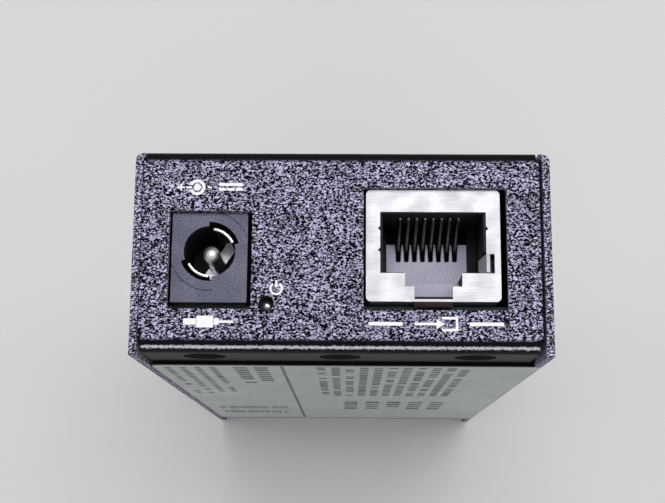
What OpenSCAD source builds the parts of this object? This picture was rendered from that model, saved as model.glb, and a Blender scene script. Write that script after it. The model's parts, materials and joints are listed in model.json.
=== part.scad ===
// Receiver box of a video extender: a small sheet-metal case with a power
// socket, a network socket and a power light in its input panel, and a video
// socket in the panel at the other end. The case stands on its output end:
// X is its width, -Y its label face, +Z runs along its length to the input panel.

/* [Case] */
// Width of the case
case_w = 50; // [48:0.5:60]
// Height of the case's top face above the network socket's shield
head_room = 4.6; // [4:0.1:12]
// Length of the case from the output end to the input end
case_l = 109; // [104:1:150]
// Thickness of the cover's sheet
cover_t = 0.9; // [0.7:0.1:1.1]
// Outer radius of the cover's two long bends
cover_bend_r = 1.2; // [1.2:0.1:1.8]
// Thickness of the label on the bottom
label_t = 0.1; // [0.05:0.05:0.2]
// Bare metal between the label and the left edge of the case
label_left_margin = 1.1; // [0.6:0.1:3]
// Bare metal between the label and the right edge of the case
label_right_margin = 0.2; // [0.1:0.1:3]
// Bare metal between the label and each end of the bottom plate
label_end_margin = 0.4; // [0.2:0.1:3]
// Radius of the snap dimples that hold the cover on the bottom plate
dimple_r = 1.2; // [0.8:0.1:1.4]
// How far a dimple reaches into the bottom plate's side
dimple_h = 0.5; // [0.3:0.1:0.6]
// Distance of the outer dimples from each end of the case
dimple_end = 20; // [14:1:30]

/* [End panels] */
// Thickness of the end panels
panel_t = 1; // [0.8:0.1:1.2]
// How far a panel's face lies behind the cover's edge
panel_setback = 0.1; // [0.05:0.05:0.3]
// Seam between a panel and the cover's walls
panel_gap = 0.25; // [0.15:0.05:0.4]
// Sideways place of the panels in their play, towards the left
panel_shift = 0.15; // [0:0.05:0.15]
// Outer radius of the bend into the top lip, and of the cover's rim corners beside it
lip_bend_r = 1.2; // [1.1:0.1:2]
// Length of the top lip behind the panel's face
lip_l = 7; // [5:0.5:8]
// Outer radius of the bend into the bottom flange
flange_bend_r = 1.75; // [1.4:0.05:2]
// Length of the bottom flange behind the panel's face
flange_l = 9.3; // [8:0.1:11]
// How far the flange lies above the label face
flange_rise = 0.55; // [0.3:0.05:0.8]
// How far the flange is narrower than the panel on each side
flange_inset = 0.35; // [0.2:0.05:1]

/* [Bottom plate] */
// Thickness of the bottom plate
tray_t = 1; // [0.8:0.1:1.2]
// Height of its upturned sides above its underside
tray_side_h = 5.5; // [4.5:0.5:7]
// Gap between its upturned sides and the cover
tray_gap = 0.15; // [0.1:0.05:0.3]
// Gap between its step and the end of a flange
step_gap = 0.2; // [0.1:0.05:0.4]
// How far a tongue is narrower than the plate on each side
tongue_inset = 2; // [1:0.25:4]
// Gap between a tongue's end and a panel's face
tongue_end = 2.4; // [2:0.1:3]
// Thickness of the insulating sheet on the plate
sheet_t = 0.25; // [0.1:0.05:0.5]

/* [Screws] */
// Distance of the outer flange screws from the sides of the panel
flange_screw_side = 7.5; // [6.5:0.1:9]
// Distance of the flange screws from the panel's face
flange_screw_end = 4.6; // [4:0.1:5.5]
// Head diameter of a flange screw
flat_head_d = 5; // [4.6:0.1:5.4]
// Thread diameter of every screw
thread_d = 3; // [2.5:0.1:3]
// Length of a flange screw
flat_screw_l = 3; // [2.6:0.1:3.1]
// Head diameter of a board screw
pan_head_d = 5.5; // [5:0.1:6]
// Head height of a board screw
pan_head_h = 1.9; // [1.4:0.1:2.4]
// Length of a board screw under its head
pan_screw_l = 4.6; // [3:0.1:5]
// Clearance between a thread and its hole
thread_gap = 0.08; // [0.05:0.01:0.15]
// Width across the standoffs' flats
standoff_w = 5; // [4.5:0.1:6]
// Height of the standoffs
standoff_h = 3.7; // [3.5:0.1:4.5]
// Distance of the standoffs' centres from the board's long edges
standoff_side = 3.4; // [3.2:0.1:5]
// Distance of the standoffs from the board's output end
standoff_out_end = 14; // [10:1:20]
// Distance of the standoffs from the board's input end
standoff_in_end = 25; // [24:1:28]

/* [Board] */
// Thickness of the circuit board
board_t = 1.6; // [1.2:0.1:1.6]
// Gap between the board and the bottom plate's sides
board_side_gap = 0.6; // [0.4:0.1:1]
// Distance from the board's edge to the face of the input panel
board_in_end = 2.5; // [2.3:0.1:3.5]
// Distance from the board's edge to the face of the output panel
board_out_end = 1.6; // [1.4:0.1:3]

/* [Network socket] */
// Distance from the case's right side to the socket's centre
net_side = 14.05; // [13.5:0.05:16]
// Distance from the plug's way in to the sides of the socket's metal shield
net_side_wall = 2; // [1.9:0.05:2.4]
// Height of the shield
net_h = 13.65; // [13.4:0.05:14]
// Length of the shield
net_l = 21; // [20.5:0.1:22]
// Gap between the shield and the board
net_lift = 0.35; // [0.3:0.05:0.5]
// How far the shield's face lies behind the panel's face
net_recess = 0.8; // [0.5:0.1:0.9]
// Thickness of the shield's sheet
net_shield_t = 0.3; // [0.2:0.05:0.35]
// Gap to the left of the shield in the panel
net_gap_left = 0.3; // [0.15:0.05:0.6]
// Gap to the right of the shield in the panel
net_gap_right = 0.75; // [0.15:0.05:0.9]
// Gap above the shield in the panel
net_gap_top = 0.12; // [0.1:0.02:0.4]
// Gap below the shield in the panel
net_gap_bottom = 1.15; // [0.9:0.05:1.3]
// Width of the plug's way in
plug_w = 12.1; // [11.9:0.1:12.3]
// Height of the plug's way in
plug_h = 7.2; // [7:0.1:7.3]
// Height of the plug's way in above the shield's underside
plug_y = 3.6; // [3.5:0.05:3.8]
// How far the contacts lie to the left of the socket's centre
net_contact_shift = 0.25; // [0:0.05:0.3]
// Depth of the lower room for the plug's latch behind the shield's face
latch_depth = 5.5; // [5:0.1:6]
// Number of contacts
net_contacts = 8; // [4:2:8]
// Distance between neighbouring contacts
net_pitch = 1.02; // [0.95:0.01:1.05]
// Width of a contact wire
wire_w = 0.35; // [0.25:0.05:0.4]
// Thickness of a contact wire
wire_t = 0.3; // [0.2:0.05:0.35]
// Depth of the contacts' comb behind the shield's face
comb_depth = 9.1; // [8.8:0.1:9.4]
// Depth of the contact springs' bend behind the shield's face
spring_bend_depth = 3.1; // [2.8:0.1:3.4]
// Slope of the contact springs at rest
spring_slope = 23.5; // [20:0.5:24]
// Length of a contact spring
spring_l = 8.3; // [8:0.1:8.6]

/* [Power socket] */
// Distance from the case's left side to the socket's centre
power_side = 9.12; // [9:0.02:11]
// Width of the socket's face
power_w = 9.1; // [8.9:0.1:9.3]
// Height of the socket's face
power_h = 11.05; // [10.9:0.05:11.4]
// Gap between the board and the lower edge of the socket's face
power_face_lift = 0.15; // [0.1:0.05:0.3]
// Length of the socket
power_l = 14; // [13.5:0.1:14.5]
// Height of the barrel's axis above the board
power_axis_h = 6.36; // [6.3:0.02:6.5]
// How far the socket's face lies behind the panel's face
power_recess = 0.9; // [0.5:0.1:0.9]
// Gap to the left of the face in the panel
power_gap_left = 0.27; // [0.15:0.02:0.5]
// Gap to the right of the face in the panel
power_gap_right = 0.58; // [0.15:0.05:0.7]
// Gap above the face in the panel
power_gap_top = 0.12; // [0.1:0.02:0.3]
// Gap below the face in the panel
power_gap_bottom = 0.75; // [0.2:0.05:0.9]
// Diameter of the barrel's hole
barrel_d = 6.2; // [6:0.1:6.3]
// Depth of the barrel's hole
barrel_l = 9.6; // [9:0.1:10]
// Diameter of the centre pin
pin_d = 2; // [1.6:0.1:2.1]
// How far the pin's tip lies behind the socket's face
pin_tip_depth = 1.5; // [1:0.1:2]
// Inner radius of the two sleeve springs
sleeve_r = 2.75; // [2.7:0.05:2.8]
// Thickness of the sleeve springs
sleeve_t = 0.35; // [0.2:0.05:0.35]
// Length of the sleeve springs
sleeve_l = 8.3; // [7.8:0.1:8.4]
// Angle that a sleeve spring covers around the pin
sleeve_span = 60; // [50:1:64]

/* [Power light] */
// Distance from the power socket's cutout to the light's centre
light_side = 1.86; // [1.6:0.02:2.4]
// Height of the light's centre under the board's top
light_drop = 0.08; // [0:0.02:0.2]
// Diameter of the light's hole in the panel
light_hole_d = 1.8; // [1.6:0.1:2]
// Diameter of the light pipe
light_pipe_d = 1.6; // [1.3:0.1:1.6]
// How far the light pipe's end lies behind the panel's face
light_recess = 1.1; // [0.3:0.1:1.2]

/* [Video socket] */
// Width of the video socket's shell
video_w = 15; // [14.8:0.1:15.2]
// Height of the shell
video_h = 5.7; // [5.6:0.1:5.9]
// Length of the shell
video_l = 11.6; // [11:0.1:13]
// Thickness of the shell's sheet
video_t = 0.3; // [0.2:0.05:0.35]
// How far the shell's mouth lies behind the panel's face
video_recess = 0.3; // [0.1:0.1:0.6]
// Gap around the shell in the panel
video_gap = 0.35; // [0.25:0.05:0.5]
// Size of the slanted lower corners of the shell
video_slant = 1.9; // [1.6:0.1:2.1]
// Width of the tongue
tongue_w = 11.6; // [11.2:0.1:11.8]
// Thickness of the tongue
tongue_t = 1.3; // [1.1:0.1:1.5]
// How far the tongue's tip lies behind the shell's mouth
tongue_recess = 1.4; // [1:0.1:2]
// Distance between neighbouring video contacts in a row
video_pitch = 1; // [0.95:0.01:1.04]
// Number of contacts on the tongue's upper side
video_upper_contacts = 10; // [8:1:10]
// Number of contacts on the tongue's lower side
video_lower_contacts = 9; // [7:1:9]

/* [Parts on the board] */
// Side of the receiver chip
chip_w = 12; // [10:1:14]
// Height of the receiver chip
chip_h = 1; // [0.8:0.1:1.4]
// Thickness of the thermal pad on the chip
pad_t = 0.5; // [0.3:0.1:0.8]
// Side of the heat sink
sink_w = 14; // [12:1:16]
// Height of the heat sink
sink_h = 7; // [6:0.5:8]
// Thickness of the heat sink's base
sink_base_t = 1.6; // [1.2:0.1:2]
// Number of the heat sink's fins
sink_fins = 6; // [5:1:7]
// Thickness of a fin
fin_t = 0.8; // [0.6:0.1:1]
// Width of the line transformer
transformer_w = 9.4; // [9:0.1:10]
// Length of the line transformer
transformer_l = 12.6; // [12:0.1:13]
// Height of the line transformer
transformer_h = 5.4; // [5:0.1:6]
// Number of leads on each side of the transformer
transformer_leads = 8; // [6:1:8]
// Side of the power inductor
inductor_w = 7; // [6:0.5:8]
// Height of the power inductor
inductor_h = 4; // [3:0.5:4.5]
// Diameter of the two round capacitors
can_d = 6.3; // [5:0.1:6.6]
// Height of the round capacitors above their bases
can_h = 4.9; // [4:0.1:5.4]
// Height of the round capacitors' square bases
can_base_h = 0.9; // [0.7:0.1:1.2]
// Length of the crystal's can
crystal_l = 11; // [10:0.1:11.4]
// Width of the crystal's can
crystal_w = 4.5; // [4:0.1:4.7]
// Height of the crystal's can
crystal_h = 3.6; // [3:0.1:4]
// Width of the voltage regulator
regulator_w = 6.5; // [6:0.1:7]
// Length of the voltage regulator
regulator_l = 3.5; // [3.2:0.1:3.8]
// Height of the voltage regulator
regulator_h = 1.7; // [1.5:0.1:1.9]
// Length of the memory chip
memory_l = 4.9; // [4.6:0.1:5.2]
// Width of the memory chip
memory_w = 3.9; // [3.6:0.1:4.2]
// Height of the memory chip
memory_h = 1.6; // [1.4:0.1:1.8]
// Length of the fuse
fuse_l = 4.5; // [4:0.1:5]
// Width of the fuse
fuse_w = 3.2; // [3:0.1:3.4]
// Height of the fuse
fuse_h = 1.2; // [1:0.1:1.4]
// Length of a small ceramic capacitor
ceramic_l = 2; // [1.6:0.1:2.2]
// Width of a small ceramic capacitor
ceramic_w = 1.25; // [1:0.05:1.4]
// Height of a small ceramic capacitor
ceramic_h = 0.9; // [0.6:0.1:1.2]

/* [Hidden] */

coat_colour = [0.15, 0.14, 0.18];
panel_colour = [0.17, 0.16, 0.2];
plastic_colour = [0.1, 0.1, 0.11];
chip_colour = [0.12, 0.12, 0.13];
plated_colour = [0.8, 0.8, 0.82];
gold_colour = [0.85, 0.68, 0.32];
can_colour = [0.75, 0.76, 0.78];

$fn = 48;
overrun = 0.5;
play = 0.05;

net_w = plug_w + 2 * net_side_wall;
case_h = label_t + tray_t + standoff_h + board_t + net_lift + net_h + head_room;

left_x = -case_w / 2;
right_x = case_w / 2;
label_y = -case_h / 2;
top_y = case_h / 2;
plate_y = label_y + label_t;
in_face_z = case_l - panel_setback;
out_face_z = panel_setback;

panel_w = case_w - 2 * cover_t - 2 * panel_gap;
panel_x = -panel_shift;
flange_screw_pitch = panel_w / 2 - flange_screw_side;
flange_y = label_y + flange_rise;
notch_w = case_w - 2 * cover_bend_r;
lip_w = notch_w - 2 * panel_gap;

tray_w = case_w - 2 * cover_t - 2 * tray_gap;
tray_floor_y = plate_y + tray_t;
tongue_y = flange_y + panel_t;
step_z = panel_setback + flange_l + step_gap;
tongue_plate_w = tray_w - 2 * tongue_inset;
dimple_y = plate_y + 3 * tray_side_h / 5;
thread_r = thread_d / 2;

board_low_y = tray_floor_y + standoff_h;
board_y = board_low_y + board_t;
board_w = tray_w - 2 * tray_t - 2 * board_side_gap;
board_out_z = out_face_z + board_out_end;
board_in_z = in_face_z - board_in_end;
board_l = board_in_z - board_out_z;
tail_l = 0.9;

net_x = right_x - net_side;
net_y = board_y + net_lift;
net_top_y = net_y + net_h;
net_z = in_face_z - net_recess;
net_back_z = net_z - net_l;
net_corner_r = 2 * net_shield_t;
plug_low_y = net_y + plug_y;
plug_top_y = plug_low_y + plug_h;
comb_z = net_z - comb_depth;
bend_z = net_z - spring_bend_depth;
roof_wire_y = plug_top_y + wire_t;
bend_y = roof_wire_y - wire_t - wire_t / 2;
slot_w = wire_w + 4 * play;
contact_x = net_x - net_contact_shift;
net_first_x = contact_x - (net_contacts - 1) * net_pitch / 2;
block_w = net_contacts * net_pitch + 2 * net_pitch;
shelf_y = net_y + 7 * plug_y / 8;
leaf_low_y = plug_low_y;
leaf_high_y = plug_low_y + 0.32 * plug_h;
leaf_l = 0.24 * net_l;
comb_l = 2.6 * net_pitch;
comb_top_y = plug_top_y - 1.9 * net_pitch;
slot_floor_y = plug_top_y - 4.1 * net_pitch;
block_back_z = net_z - 0.8 * net_l;
net_tab_z = net_z - net_l / 2;
net_tab_l = 0.1 * net_l;

power_x = left_x + power_side;
power_y = board_y;
power_axis_y = power_y + power_axis_h;
power_z = in_face_z - power_recess;
power_back_z = power_z - power_l;
barrel_r = barrel_d / 2;
barrel_floor_z = power_z - barrel_l;
shank_r = 0.36 * pin_d;
sleeve_outer_r = sleeve_r + sleeve_t;
pocket_r = sleeve_outer_r + 1.5 * sleeve_t;
pocket_span = 1.27 * sleeve_span;
sleeve_front_z = power_z - 2 * sleeve_t;
sleeve_back_z = sleeve_front_z - sleeve_l;
pocket_floor_z = sleeve_back_z - sleeve_t;
power_tab_w = 0.11 * power_w;
power_tab_places = [[power_x, power_back_z + 0.04 * power_l],
    [power_x, power_back_z + 0.3 * power_l],
    [power_x + 0.42 * power_w, power_back_z + 0.5 * power_l]];
upper_spring_turn = 54;
lower_spring_turn = 237;

power_cut_right_x = power_x + power_w / 2 + power_gap_right;
light_x = power_cut_right_x + light_side;
light_y = board_y - light_drop;
light_z = in_face_z - light_recess;
lamp_w = 1.25 * light_pipe_d;
lamp_h = 0.8 * light_pipe_d;

video_y = board_y;
video_z = out_face_z + video_recess;
video_back_z = video_z + video_l;
tongue_mid_y = video_y + video_h / 2 + tongue_t / 8;
tongue_tip_z = video_z + tongue_recess;
tongue_root_z = video_back_z - video_l / 4;
contact_w = 0.4 * video_pitch;
contact_t = 0.12 * video_pitch;
video_tab_z = video_z + 0.62 * video_l;
video_tab_l = 0.14 * video_l;

// Places of the parts on the board: across its width and along its length
chip_shares = [0, 0.42];
transformer_shares = [0.2, 0.66];
inductor_shares = [-0.3, 0.7];
can_shares = [[-0.34, 0.56], [-0.16, 0.56]];
crystal_shares = [0.25, 0.4];
regulator_shares = [-0.12, 0.78];
memory_shares = [-0.27, 0.32];
fuse_shares = [-0.3, 0.8];
surge_shares = [[-0.12, 0.17], [0.12, 0.17]];
ceramic_shares = [[-0.36, 0.42], [-0.22, 0.44], [0.17, 0.3], [0.26, 0.3], [0.34, 0.3],
    [-0.16, 0.27], [-0.07, 0.27], [0.02, 0.27], [0.11, 0.27], [0.22, 0.5], [0.31, 0.5],
    [-0.1, 0.68], [-0.02, 0.68], [0.05, 0.74], [-0.4, 0.3], [-0.4, 0.24]];

function board_place(shares) = [shares[0] * board_w, board_out_z + shares[1] * board_l];

standoff_x = board_w / 2 - standoff_side;
// Where a contact's solder tail goes down, in two rows
function net_tail_z(i) = block_back_z - 1.5 * wire_t - (i % 2) * 1.25 * net_pitch;

standoff_places = [for (x = [-standoff_x, standoff_x])
    for (z = [board_out_z + standoff_out_end, board_in_z - standoff_in_end]) [x, z]];

// A block between two opposite corners
module block(from, to) {
    translate(from) cube(to - from);
}

// A section drawn in Y and Z, drawn out along X
module along_x(from_x, to_x) {
    translate([from_x, 0, 0]) rotate([90, 0, 90]) linear_extrude(to_x - from_x) children();
}

// A cylinder from its base along +Y
module upright(x, y, z, r, h) {
    translate([x, y, z]) rotate([-90, 0, 0]) cylinder(r = r, h = h);
}

// What an arc takes off the corner of a section, for a corner at the origin
module corner_waste(r) {
    difference() {
        translate([-r, -r]) square(r + overrun);
        translate([-r, -r]) circle(r);
    }
}

// A rectangle from its low corner to its high corner, with its two far corners rounded
module end_rounded(low, high, low_r, high_r) {
    difference() {
        translate(low) square(high - low);
        translate(high) corner_waste(high_r);
        translate([low.x, high.y]) mirror([1, 0]) corner_waste(low_r);
    }
}

// The same, with all four corners rounded alike
module all_rounded(low, high, r) {
    difference() {
        end_rounded(low, high, r, r);
        translate(low) rotate(180) corner_waste(r);
        translate([high.x, low.y]) mirror([0, 1]) corner_waste(r);
    }
}

// A cross-shaped recess for a screwdriver, cut down along +Y from a head's face
module driver_recess(d, depth) {
    arm = d / 2;
    blade = d / 9;
    for (turn = [0, 90])
        rotate([0, turn, 0])
            block([-arm / 2, -overrun, -blade / 2], [arm / 2, depth, blade / 2]);
}

module input_end() {
    children();
}

module output_end() {
    translate([0, 0, case_l]) mirror([0, 0, 1]) children();
}

// Sheet-metal case

module cover_section() {
    difference() {
        end_rounded([left_x, plate_y], [right_x, top_y], cover_bend_r, cover_bend_r);
        end_rounded([left_x + cover_t, plate_y - overrun], [right_x - cover_t, top_y - cover_t],
            cover_bend_r - cover_t, cover_bend_r - cover_t);
    }
}

module lip_notch() {
    block([-notch_w / 2, top_y - cover_t - overrun, in_face_z - lip_l - panel_gap],
        [notch_w / 2, top_y + overrun, case_l + overrun]);
}

// What rounds the rim's two corners beside a lip
module rim_corners() {
    along_x(left_x - overrun, right_x + overrun) translate([top_y, case_l]) corner_waste(lip_bend_r);
}

module each_dimple() {
    for (side = [-1, 1])
        for (z = [dimple_end, case_l - dimple_end])
            translate([side * case_w / 2, dimple_y, z]) rotate([0, -side * 90, 0]) children();
}

module cover() {
    color(coat_colour) difference() {
        union() {
            linear_extrude(case_l) cover_section();
            each_dimple() cylinder(r = dimple_r, h = cover_t + dimple_h);
        }
        each_dimple() translate([0, 0, -overrun])
            cylinder(r = dimple_r - dimple_h, h = dimple_h + overrun);
        input_end() lip_notch();
        output_end() lip_notch();
        input_end() rim_corners();
        output_end() rim_corners();
    }
}

module panel_section() {
    difference() {
        end_rounded([flange_y, in_face_z - flange_l], [top_y, in_face_z], flange_bend_r, lip_bend_r);
        end_rounded([flange_y + panel_t, in_face_z - flange_l - overrun],
            [top_y - panel_t, in_face_z - panel_t], flange_bend_r - panel_t,
            max(lip_bend_r - panel_t, play));
        translate([top_y - panel_t - play, in_face_z - flange_l - overrun])
            square([panel_t + play + overrun, flange_l - lip_l + overrun]);
    }
}

// Takes the sides off a fold, so that it is narrower than the panel's face
module fold_trim(fold_w, from_y, to_y) {
    for (side = [-1, 1])
        translate([panel_x + side * (fold_w + panel_w) / 2, 0, 0])
            block([-panel_w / 2, from_y, in_face_z - flange_l - overrun],
                [panel_w / 2, to_y, in_face_z + overrun]);
}

module flange_screw_places() {
    for (step = [-1, 0, 1])
        translate([panel_x + step * flange_screw_pitch, flange_y, in_face_z - flange_screw_end])
            children();
}

module countersink() {
    rotate([-90, 0, 0]) {
        cylinder(r1 = flat_head_d / 2 + thread_gap, r2 = thread_r + thread_gap, h = panel_t);
        translate([0, 0, -overrun]) cylinder(r = flat_head_d / 2 + thread_gap, h = overrun + play);
        cylinder(r = thread_r + thread_gap, h = panel_t + overrun);
    }
}

// The folded plate of either end, before its sockets are cut
module end_plate() {
    difference() {
        along_x(panel_x - panel_w / 2, panel_x + panel_w / 2) panel_section();
        fold_trim(panel_w - 2 * flange_inset, flange_y - overrun, flange_y + flange_bend_r);
        fold_trim(lip_w, top_y - cover_t - panel_gap, top_y + overrun);
        flange_screw_places() countersink();
    }
}

module input_panel() {
    color(panel_colour) difference() {
        end_plate();
        block([net_x - net_w / 2 - net_gap_left, net_y - net_gap_bottom, in_face_z - panel_t - overrun],
            [net_x + net_w / 2 + net_gap_right, net_top_y + net_gap_top, in_face_z + overrun]);
        block([power_x - power_w / 2 - power_gap_left, power_y - power_gap_bottom,
            in_face_z - panel_t - overrun],
            [power_cut_right_x, power_y + power_h + power_gap_top, in_face_z + overrun]);
        translate([light_x, light_y, in_face_z - panel_t - overrun])
            cylinder(r = light_hole_d / 2, h = panel_t + 2 * overrun);
    }
}

module output_panel() {
    color(panel_colour) difference() {
        output_end() end_plate();
        translate([0, 0, -overrun]) linear_extrude(out_face_z + panel_t + 2 * overrun)
            video_outline(video_gap);
    }
}

module tray_section() {
    floor_w = tray_w - 2 * tray_t;
    difference() {
        translate([0, plate_y + tray_side_h]) mirror([0, 1])
            end_rounded([-tray_w / 2, 0], [tray_w / 2, tray_side_h], cover_bend_r, cover_bend_r);
        translate([-floor_w / 2, tray_floor_y]) square([floor_w, tray_side_h]);
    }
}

module tray_tongue() {
    block([-tongue_plate_w / 2, tongue_y, case_l - step_z - tray_t],
        [tongue_plate_w / 2, tongue_y + tray_t, in_face_z - tongue_end]);
    block([-tongue_plate_w / 2, plate_y, case_l - step_z - tray_t],
        [tongue_plate_w / 2, tongue_y + tray_t, case_l - step_z]);
}

module bottom_plate() {
    color(coat_colour) difference() {
        union() {
            translate([0, 0, step_z]) linear_extrude(case_l - 2 * step_z) tray_section();
            input_end() tray_tongue();
            output_end() tray_tongue();
        }
        input_end() flange_screw_places() upright(0, 0, 0, thread_r + thread_gap, tray_side_h);
        output_end() flange_screw_places() upright(0, 0, 0, thread_r + thread_gap, tray_side_h);
        each_dimple() cylinder(r = dimple_r + tray_gap, h = cover_t + tray_gap + tray_t + overrun);
    }
}

module label() {
    color([0.78, 0.8, 0.79])
        block([left_x + label_left_margin, label_y, step_z + label_end_margin],
            [right_x - label_right_margin, plate_y, case_l - step_z - label_end_margin]);
}

module insulating_sheet() {
    reach_x = tray_w / 2 - tray_t - board_side_gap;
    end_z = step_z + 2 * tray_t;
    color([0.9, 0.87, 0.72]) difference() {
        block([-reach_x, tray_floor_y, end_z], [reach_x, tray_floor_y + sheet_t, case_l - end_z]);
        for (place = standoff_places)
            upright(place[0], tray_floor_y - overrun, place[1], 0.62 * standoff_w, sheet_t + 2 * overrun);
    }
}

// Fasteners

module flat_screw() {
    difference() {
        rotate([-90, 0, 0]) {
            cylinder(r1 = flat_head_d / 2, r2 = thread_r - thread_gap, h = panel_t - play);
            cylinder(r = thread_r - thread_gap, h = flat_screw_l);
        }
        driver_recess(flat_head_d, 0.7 * panel_t);
    }
}

module flange_screws() {
    color(chip_colour) {
        input_end() flange_screw_places() flat_screw();
        output_end() flange_screw_places() flat_screw();
    }
}

module standoffs() {
    color([0.8, 0.72, 0.45]) for (place = standoff_places)
        difference() {
            translate([place[0], tray_floor_y, place[1]]) rotate([-90, 0, 0])
                cylinder(r = standoff_w / sqrt(3), h = standoff_h, $fn = 6);
            upright(place[0], tray_floor_y - overrun, place[1], thread_r + thread_gap,
                standoff_h + 2 * overrun);
        }
}

module board_screws() {
    color(can_colour) for (place = standoff_places)
        translate([place[0], board_y, place[1]]) difference() {
            union() {
                rotate([-90, 0, 0]) cylinder(r1 = pan_head_d / 2, r2 = 0.42 * pan_head_d, h = pan_head_h);
                rotate([90, 0, 0]) cylinder(r = thread_r - thread_gap, h = pan_screw_l);
            }
            translate([0, pan_head_h, 0]) mirror([0, 1, 0]) driver_recess(pan_head_d, pan_head_h / 2);
        }
}

// Circuit board

module board_hole(x, z, w, l) {
    block([x - w / 2, board_low_y - overrun, z - l / 2], [x + w / 2, board_y + overrun, z + l / 2]);
}

module main_board() {
    color([0.08, 0.3, 0.17]) difference() {
        block([-board_w / 2, board_low_y, board_out_z], [board_w / 2, board_y, board_in_z]);
        for (place = standoff_places)
            upright(place[0], board_low_y - overrun, place[1], thread_r + 2 * thread_gap,
                board_t + 2 * overrun);
        for (i = [0 : net_contacts - 1])
            board_hole(net_first_x + i * net_pitch, net_tail_z(i) - wire_t / 2, slot_w, slot_w);
        for (side = [-1, 1])
            board_hole(net_x + side * (net_w - net_shield_t) / 2, net_tab_z, 3 * net_shield_t,
                net_tab_l + 4 * play);
        for (place = power_tab_places)
            board_hole(place[0], place[1], power_tab_w + 4 * play, power_tab_w + 4 * play);
        for (side = [-1, 1])
            board_hole(side * (video_w - video_t) / 2, video_tab_z, 3 * video_t, video_tab_l + 4 * play);
    }
}

// Network socket

// Mouth of the shield: the plug's way in, the two steps for its latch and the side notch
module shield_mouth() {
    mouth_w = plug_w + 2 * net_shield_t;
    mouth_low_y = plug_low_y - net_shield_t / 2;
    latch_w = 0.565 * plug_w;
    catch_w = 0.378 * plug_w;
    catch_y = net_y + 0.51 * plug_y;
    nick = 0.7 * net_shield_t;
    translate([net_x - mouth_w / 2, mouth_low_y]) square([mouth_w, plug_h + net_shield_t]);
    translate([net_x - latch_w / 2, catch_y]) square([latch_w, plug_y]);
    translate([net_x - catch_w / 2, net_y + net_shield_t]) square([catch_w, plug_y]);
    translate([net_x + mouth_w / 2 - play, mouth_low_y])
        square([0.08 * plug_w + play, 0.33 * plug_h]);
    for (place = [[-1, 0.37], [-1, 0.74], [1, 0.74]])
        translate([net_x + place[0] * mouth_w / 2, plug_low_y + place[1] * plug_h])
            rotate(45) square(2 * nick, center = true);
}

module network_shield() {
    low = [net_x - net_w / 2, net_y];
    high = [net_x + net_w / 2, net_top_y];
    wall = [net_shield_t, net_shield_t];
    inner_z = net_back_z + net_shield_t;
    color([0.86, 0.85, 0.89]) {
        difference() {
            translate([0, 0, net_back_z]) linear_extrude(net_l)
                all_rounded(low, high, net_corner_r);
            translate([0, 0, inner_z]) linear_extrude(net_l - 2 * net_shield_t)
                all_rounded(low + wall, high - wall, net_corner_r - net_shield_t);
            translate([0, 0, net_z - net_shield_t - overrun]) linear_extrude(net_shield_t + 2 * overrun)
                shield_mouth();
            block([low.x + net_corner_r, net_y - overrun, inner_z],
                [high.x - net_corner_r, net_y + net_shield_t + play, net_z - 0.3 * net_l]);
        }
        for (side = [-1, 1])
            translate([net_x + side * (net_w - net_shield_t) / 2, 0, 0])
                block([-net_shield_t / 2, board_low_y - tail_l, net_tab_z - net_tab_l / 2],
                    [net_shield_t / 2, net_y + net_corner_r, net_tab_z + net_tab_l / 2]);
        ground_finger();
        side_leaf();
    }
}

// Spring leaf, bent back from the shield's face, that earths the plug
module side_leaf() {
    front_x = net_x + net_w / 2 - 5.6 * net_shield_t;
    end_x = net_x + plug_w / 2 - net_shield_t / 2;
    translate([0, leaf_low_y, net_z]) rotate([-90, 0, 0]) linear_extrude(leaf_high_y - leaf_low_y)
        polygon([[front_x, net_shield_t / 2], [front_x + 1.4 * net_shield_t, net_shield_t / 2],
            [end_x + net_shield_t, leaf_l], [end_x, leaf_l]]);
}

// Spring finger under the shield that earths it on the panel
module ground_finger() {
    reach = 0.19 * plug_w;
    drop = 0.5 * net_gap_bottom;
    back = 3 * net_shield_t;
    translate([net_x, net_y, net_z])
        along_x(-reach, reach)
            polygon([[net_shield_t, -net_shield_t], [0, 0], [-drop, -back / 2], [-drop, -back],
                [-drop + net_shield_t, -back], [net_shield_t, -2 * net_shield_t]]);
}

module network_housing() {
    reach = net_w / 2 - net_shield_t - play;
    low_y = net_y + net_shield_t + play;
    high_y = net_top_y - net_shield_t - play;
    front_z = net_z - net_shield_t - play;
    back_z = net_back_z + net_shield_t + 4 * play;
    latch_w = 0.58 * plug_w;
    insert_w = block_w + 2 * play;
    color(plastic_colour) difference() {
        translate([0, 0, back_z]) linear_extrude(front_z - back_z)
            all_rounded([net_x - reach, low_y], [net_x + reach, high_y], net_shield_t);
        block([net_x - plug_w / 2, plug_low_y, comb_z],
            [net_x + plug_w / 2, plug_top_y, front_z + overrun]);
        block([net_x - latch_w / 2, shelf_y, comb_z],
            [net_x + latch_w / 2, plug_low_y + overrun, front_z + overrun]);
        block([net_x - latch_w / 2, low_y + net_shield_t, net_z - latch_depth],
            [net_x + latch_w / 2, plug_low_y + overrun, front_z + overrun]);
        block([contact_x - insert_w / 2, shelf_y, back_z - overrun],
            [contact_x + insert_w / 2, plug_top_y, comb_z + overrun]);
        block([contact_x - insert_w / 2, low_y - overrun, back_z - overrun],
            [contact_x + insert_w / 2, roof_wire_y + 2 * wire_t, block_back_z]);
        for (i = [0 : net_contacts - 1])
            translate([net_first_x + i * net_pitch, 0, 0])
                block([-slot_w / 2, plug_top_y - overrun, back_z - overrun],
                    [slot_w / 2, roof_wire_y + wire_t + play, bend_z + 2.5 * wire_t]);
        block([net_x + plug_w / 2 - overrun, leaf_low_y - play, net_z - leaf_l - 4 * play],
            [net_x + reach + overrun, leaf_high_y + 4 * play, front_z + overrun]);
    }
}

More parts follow.
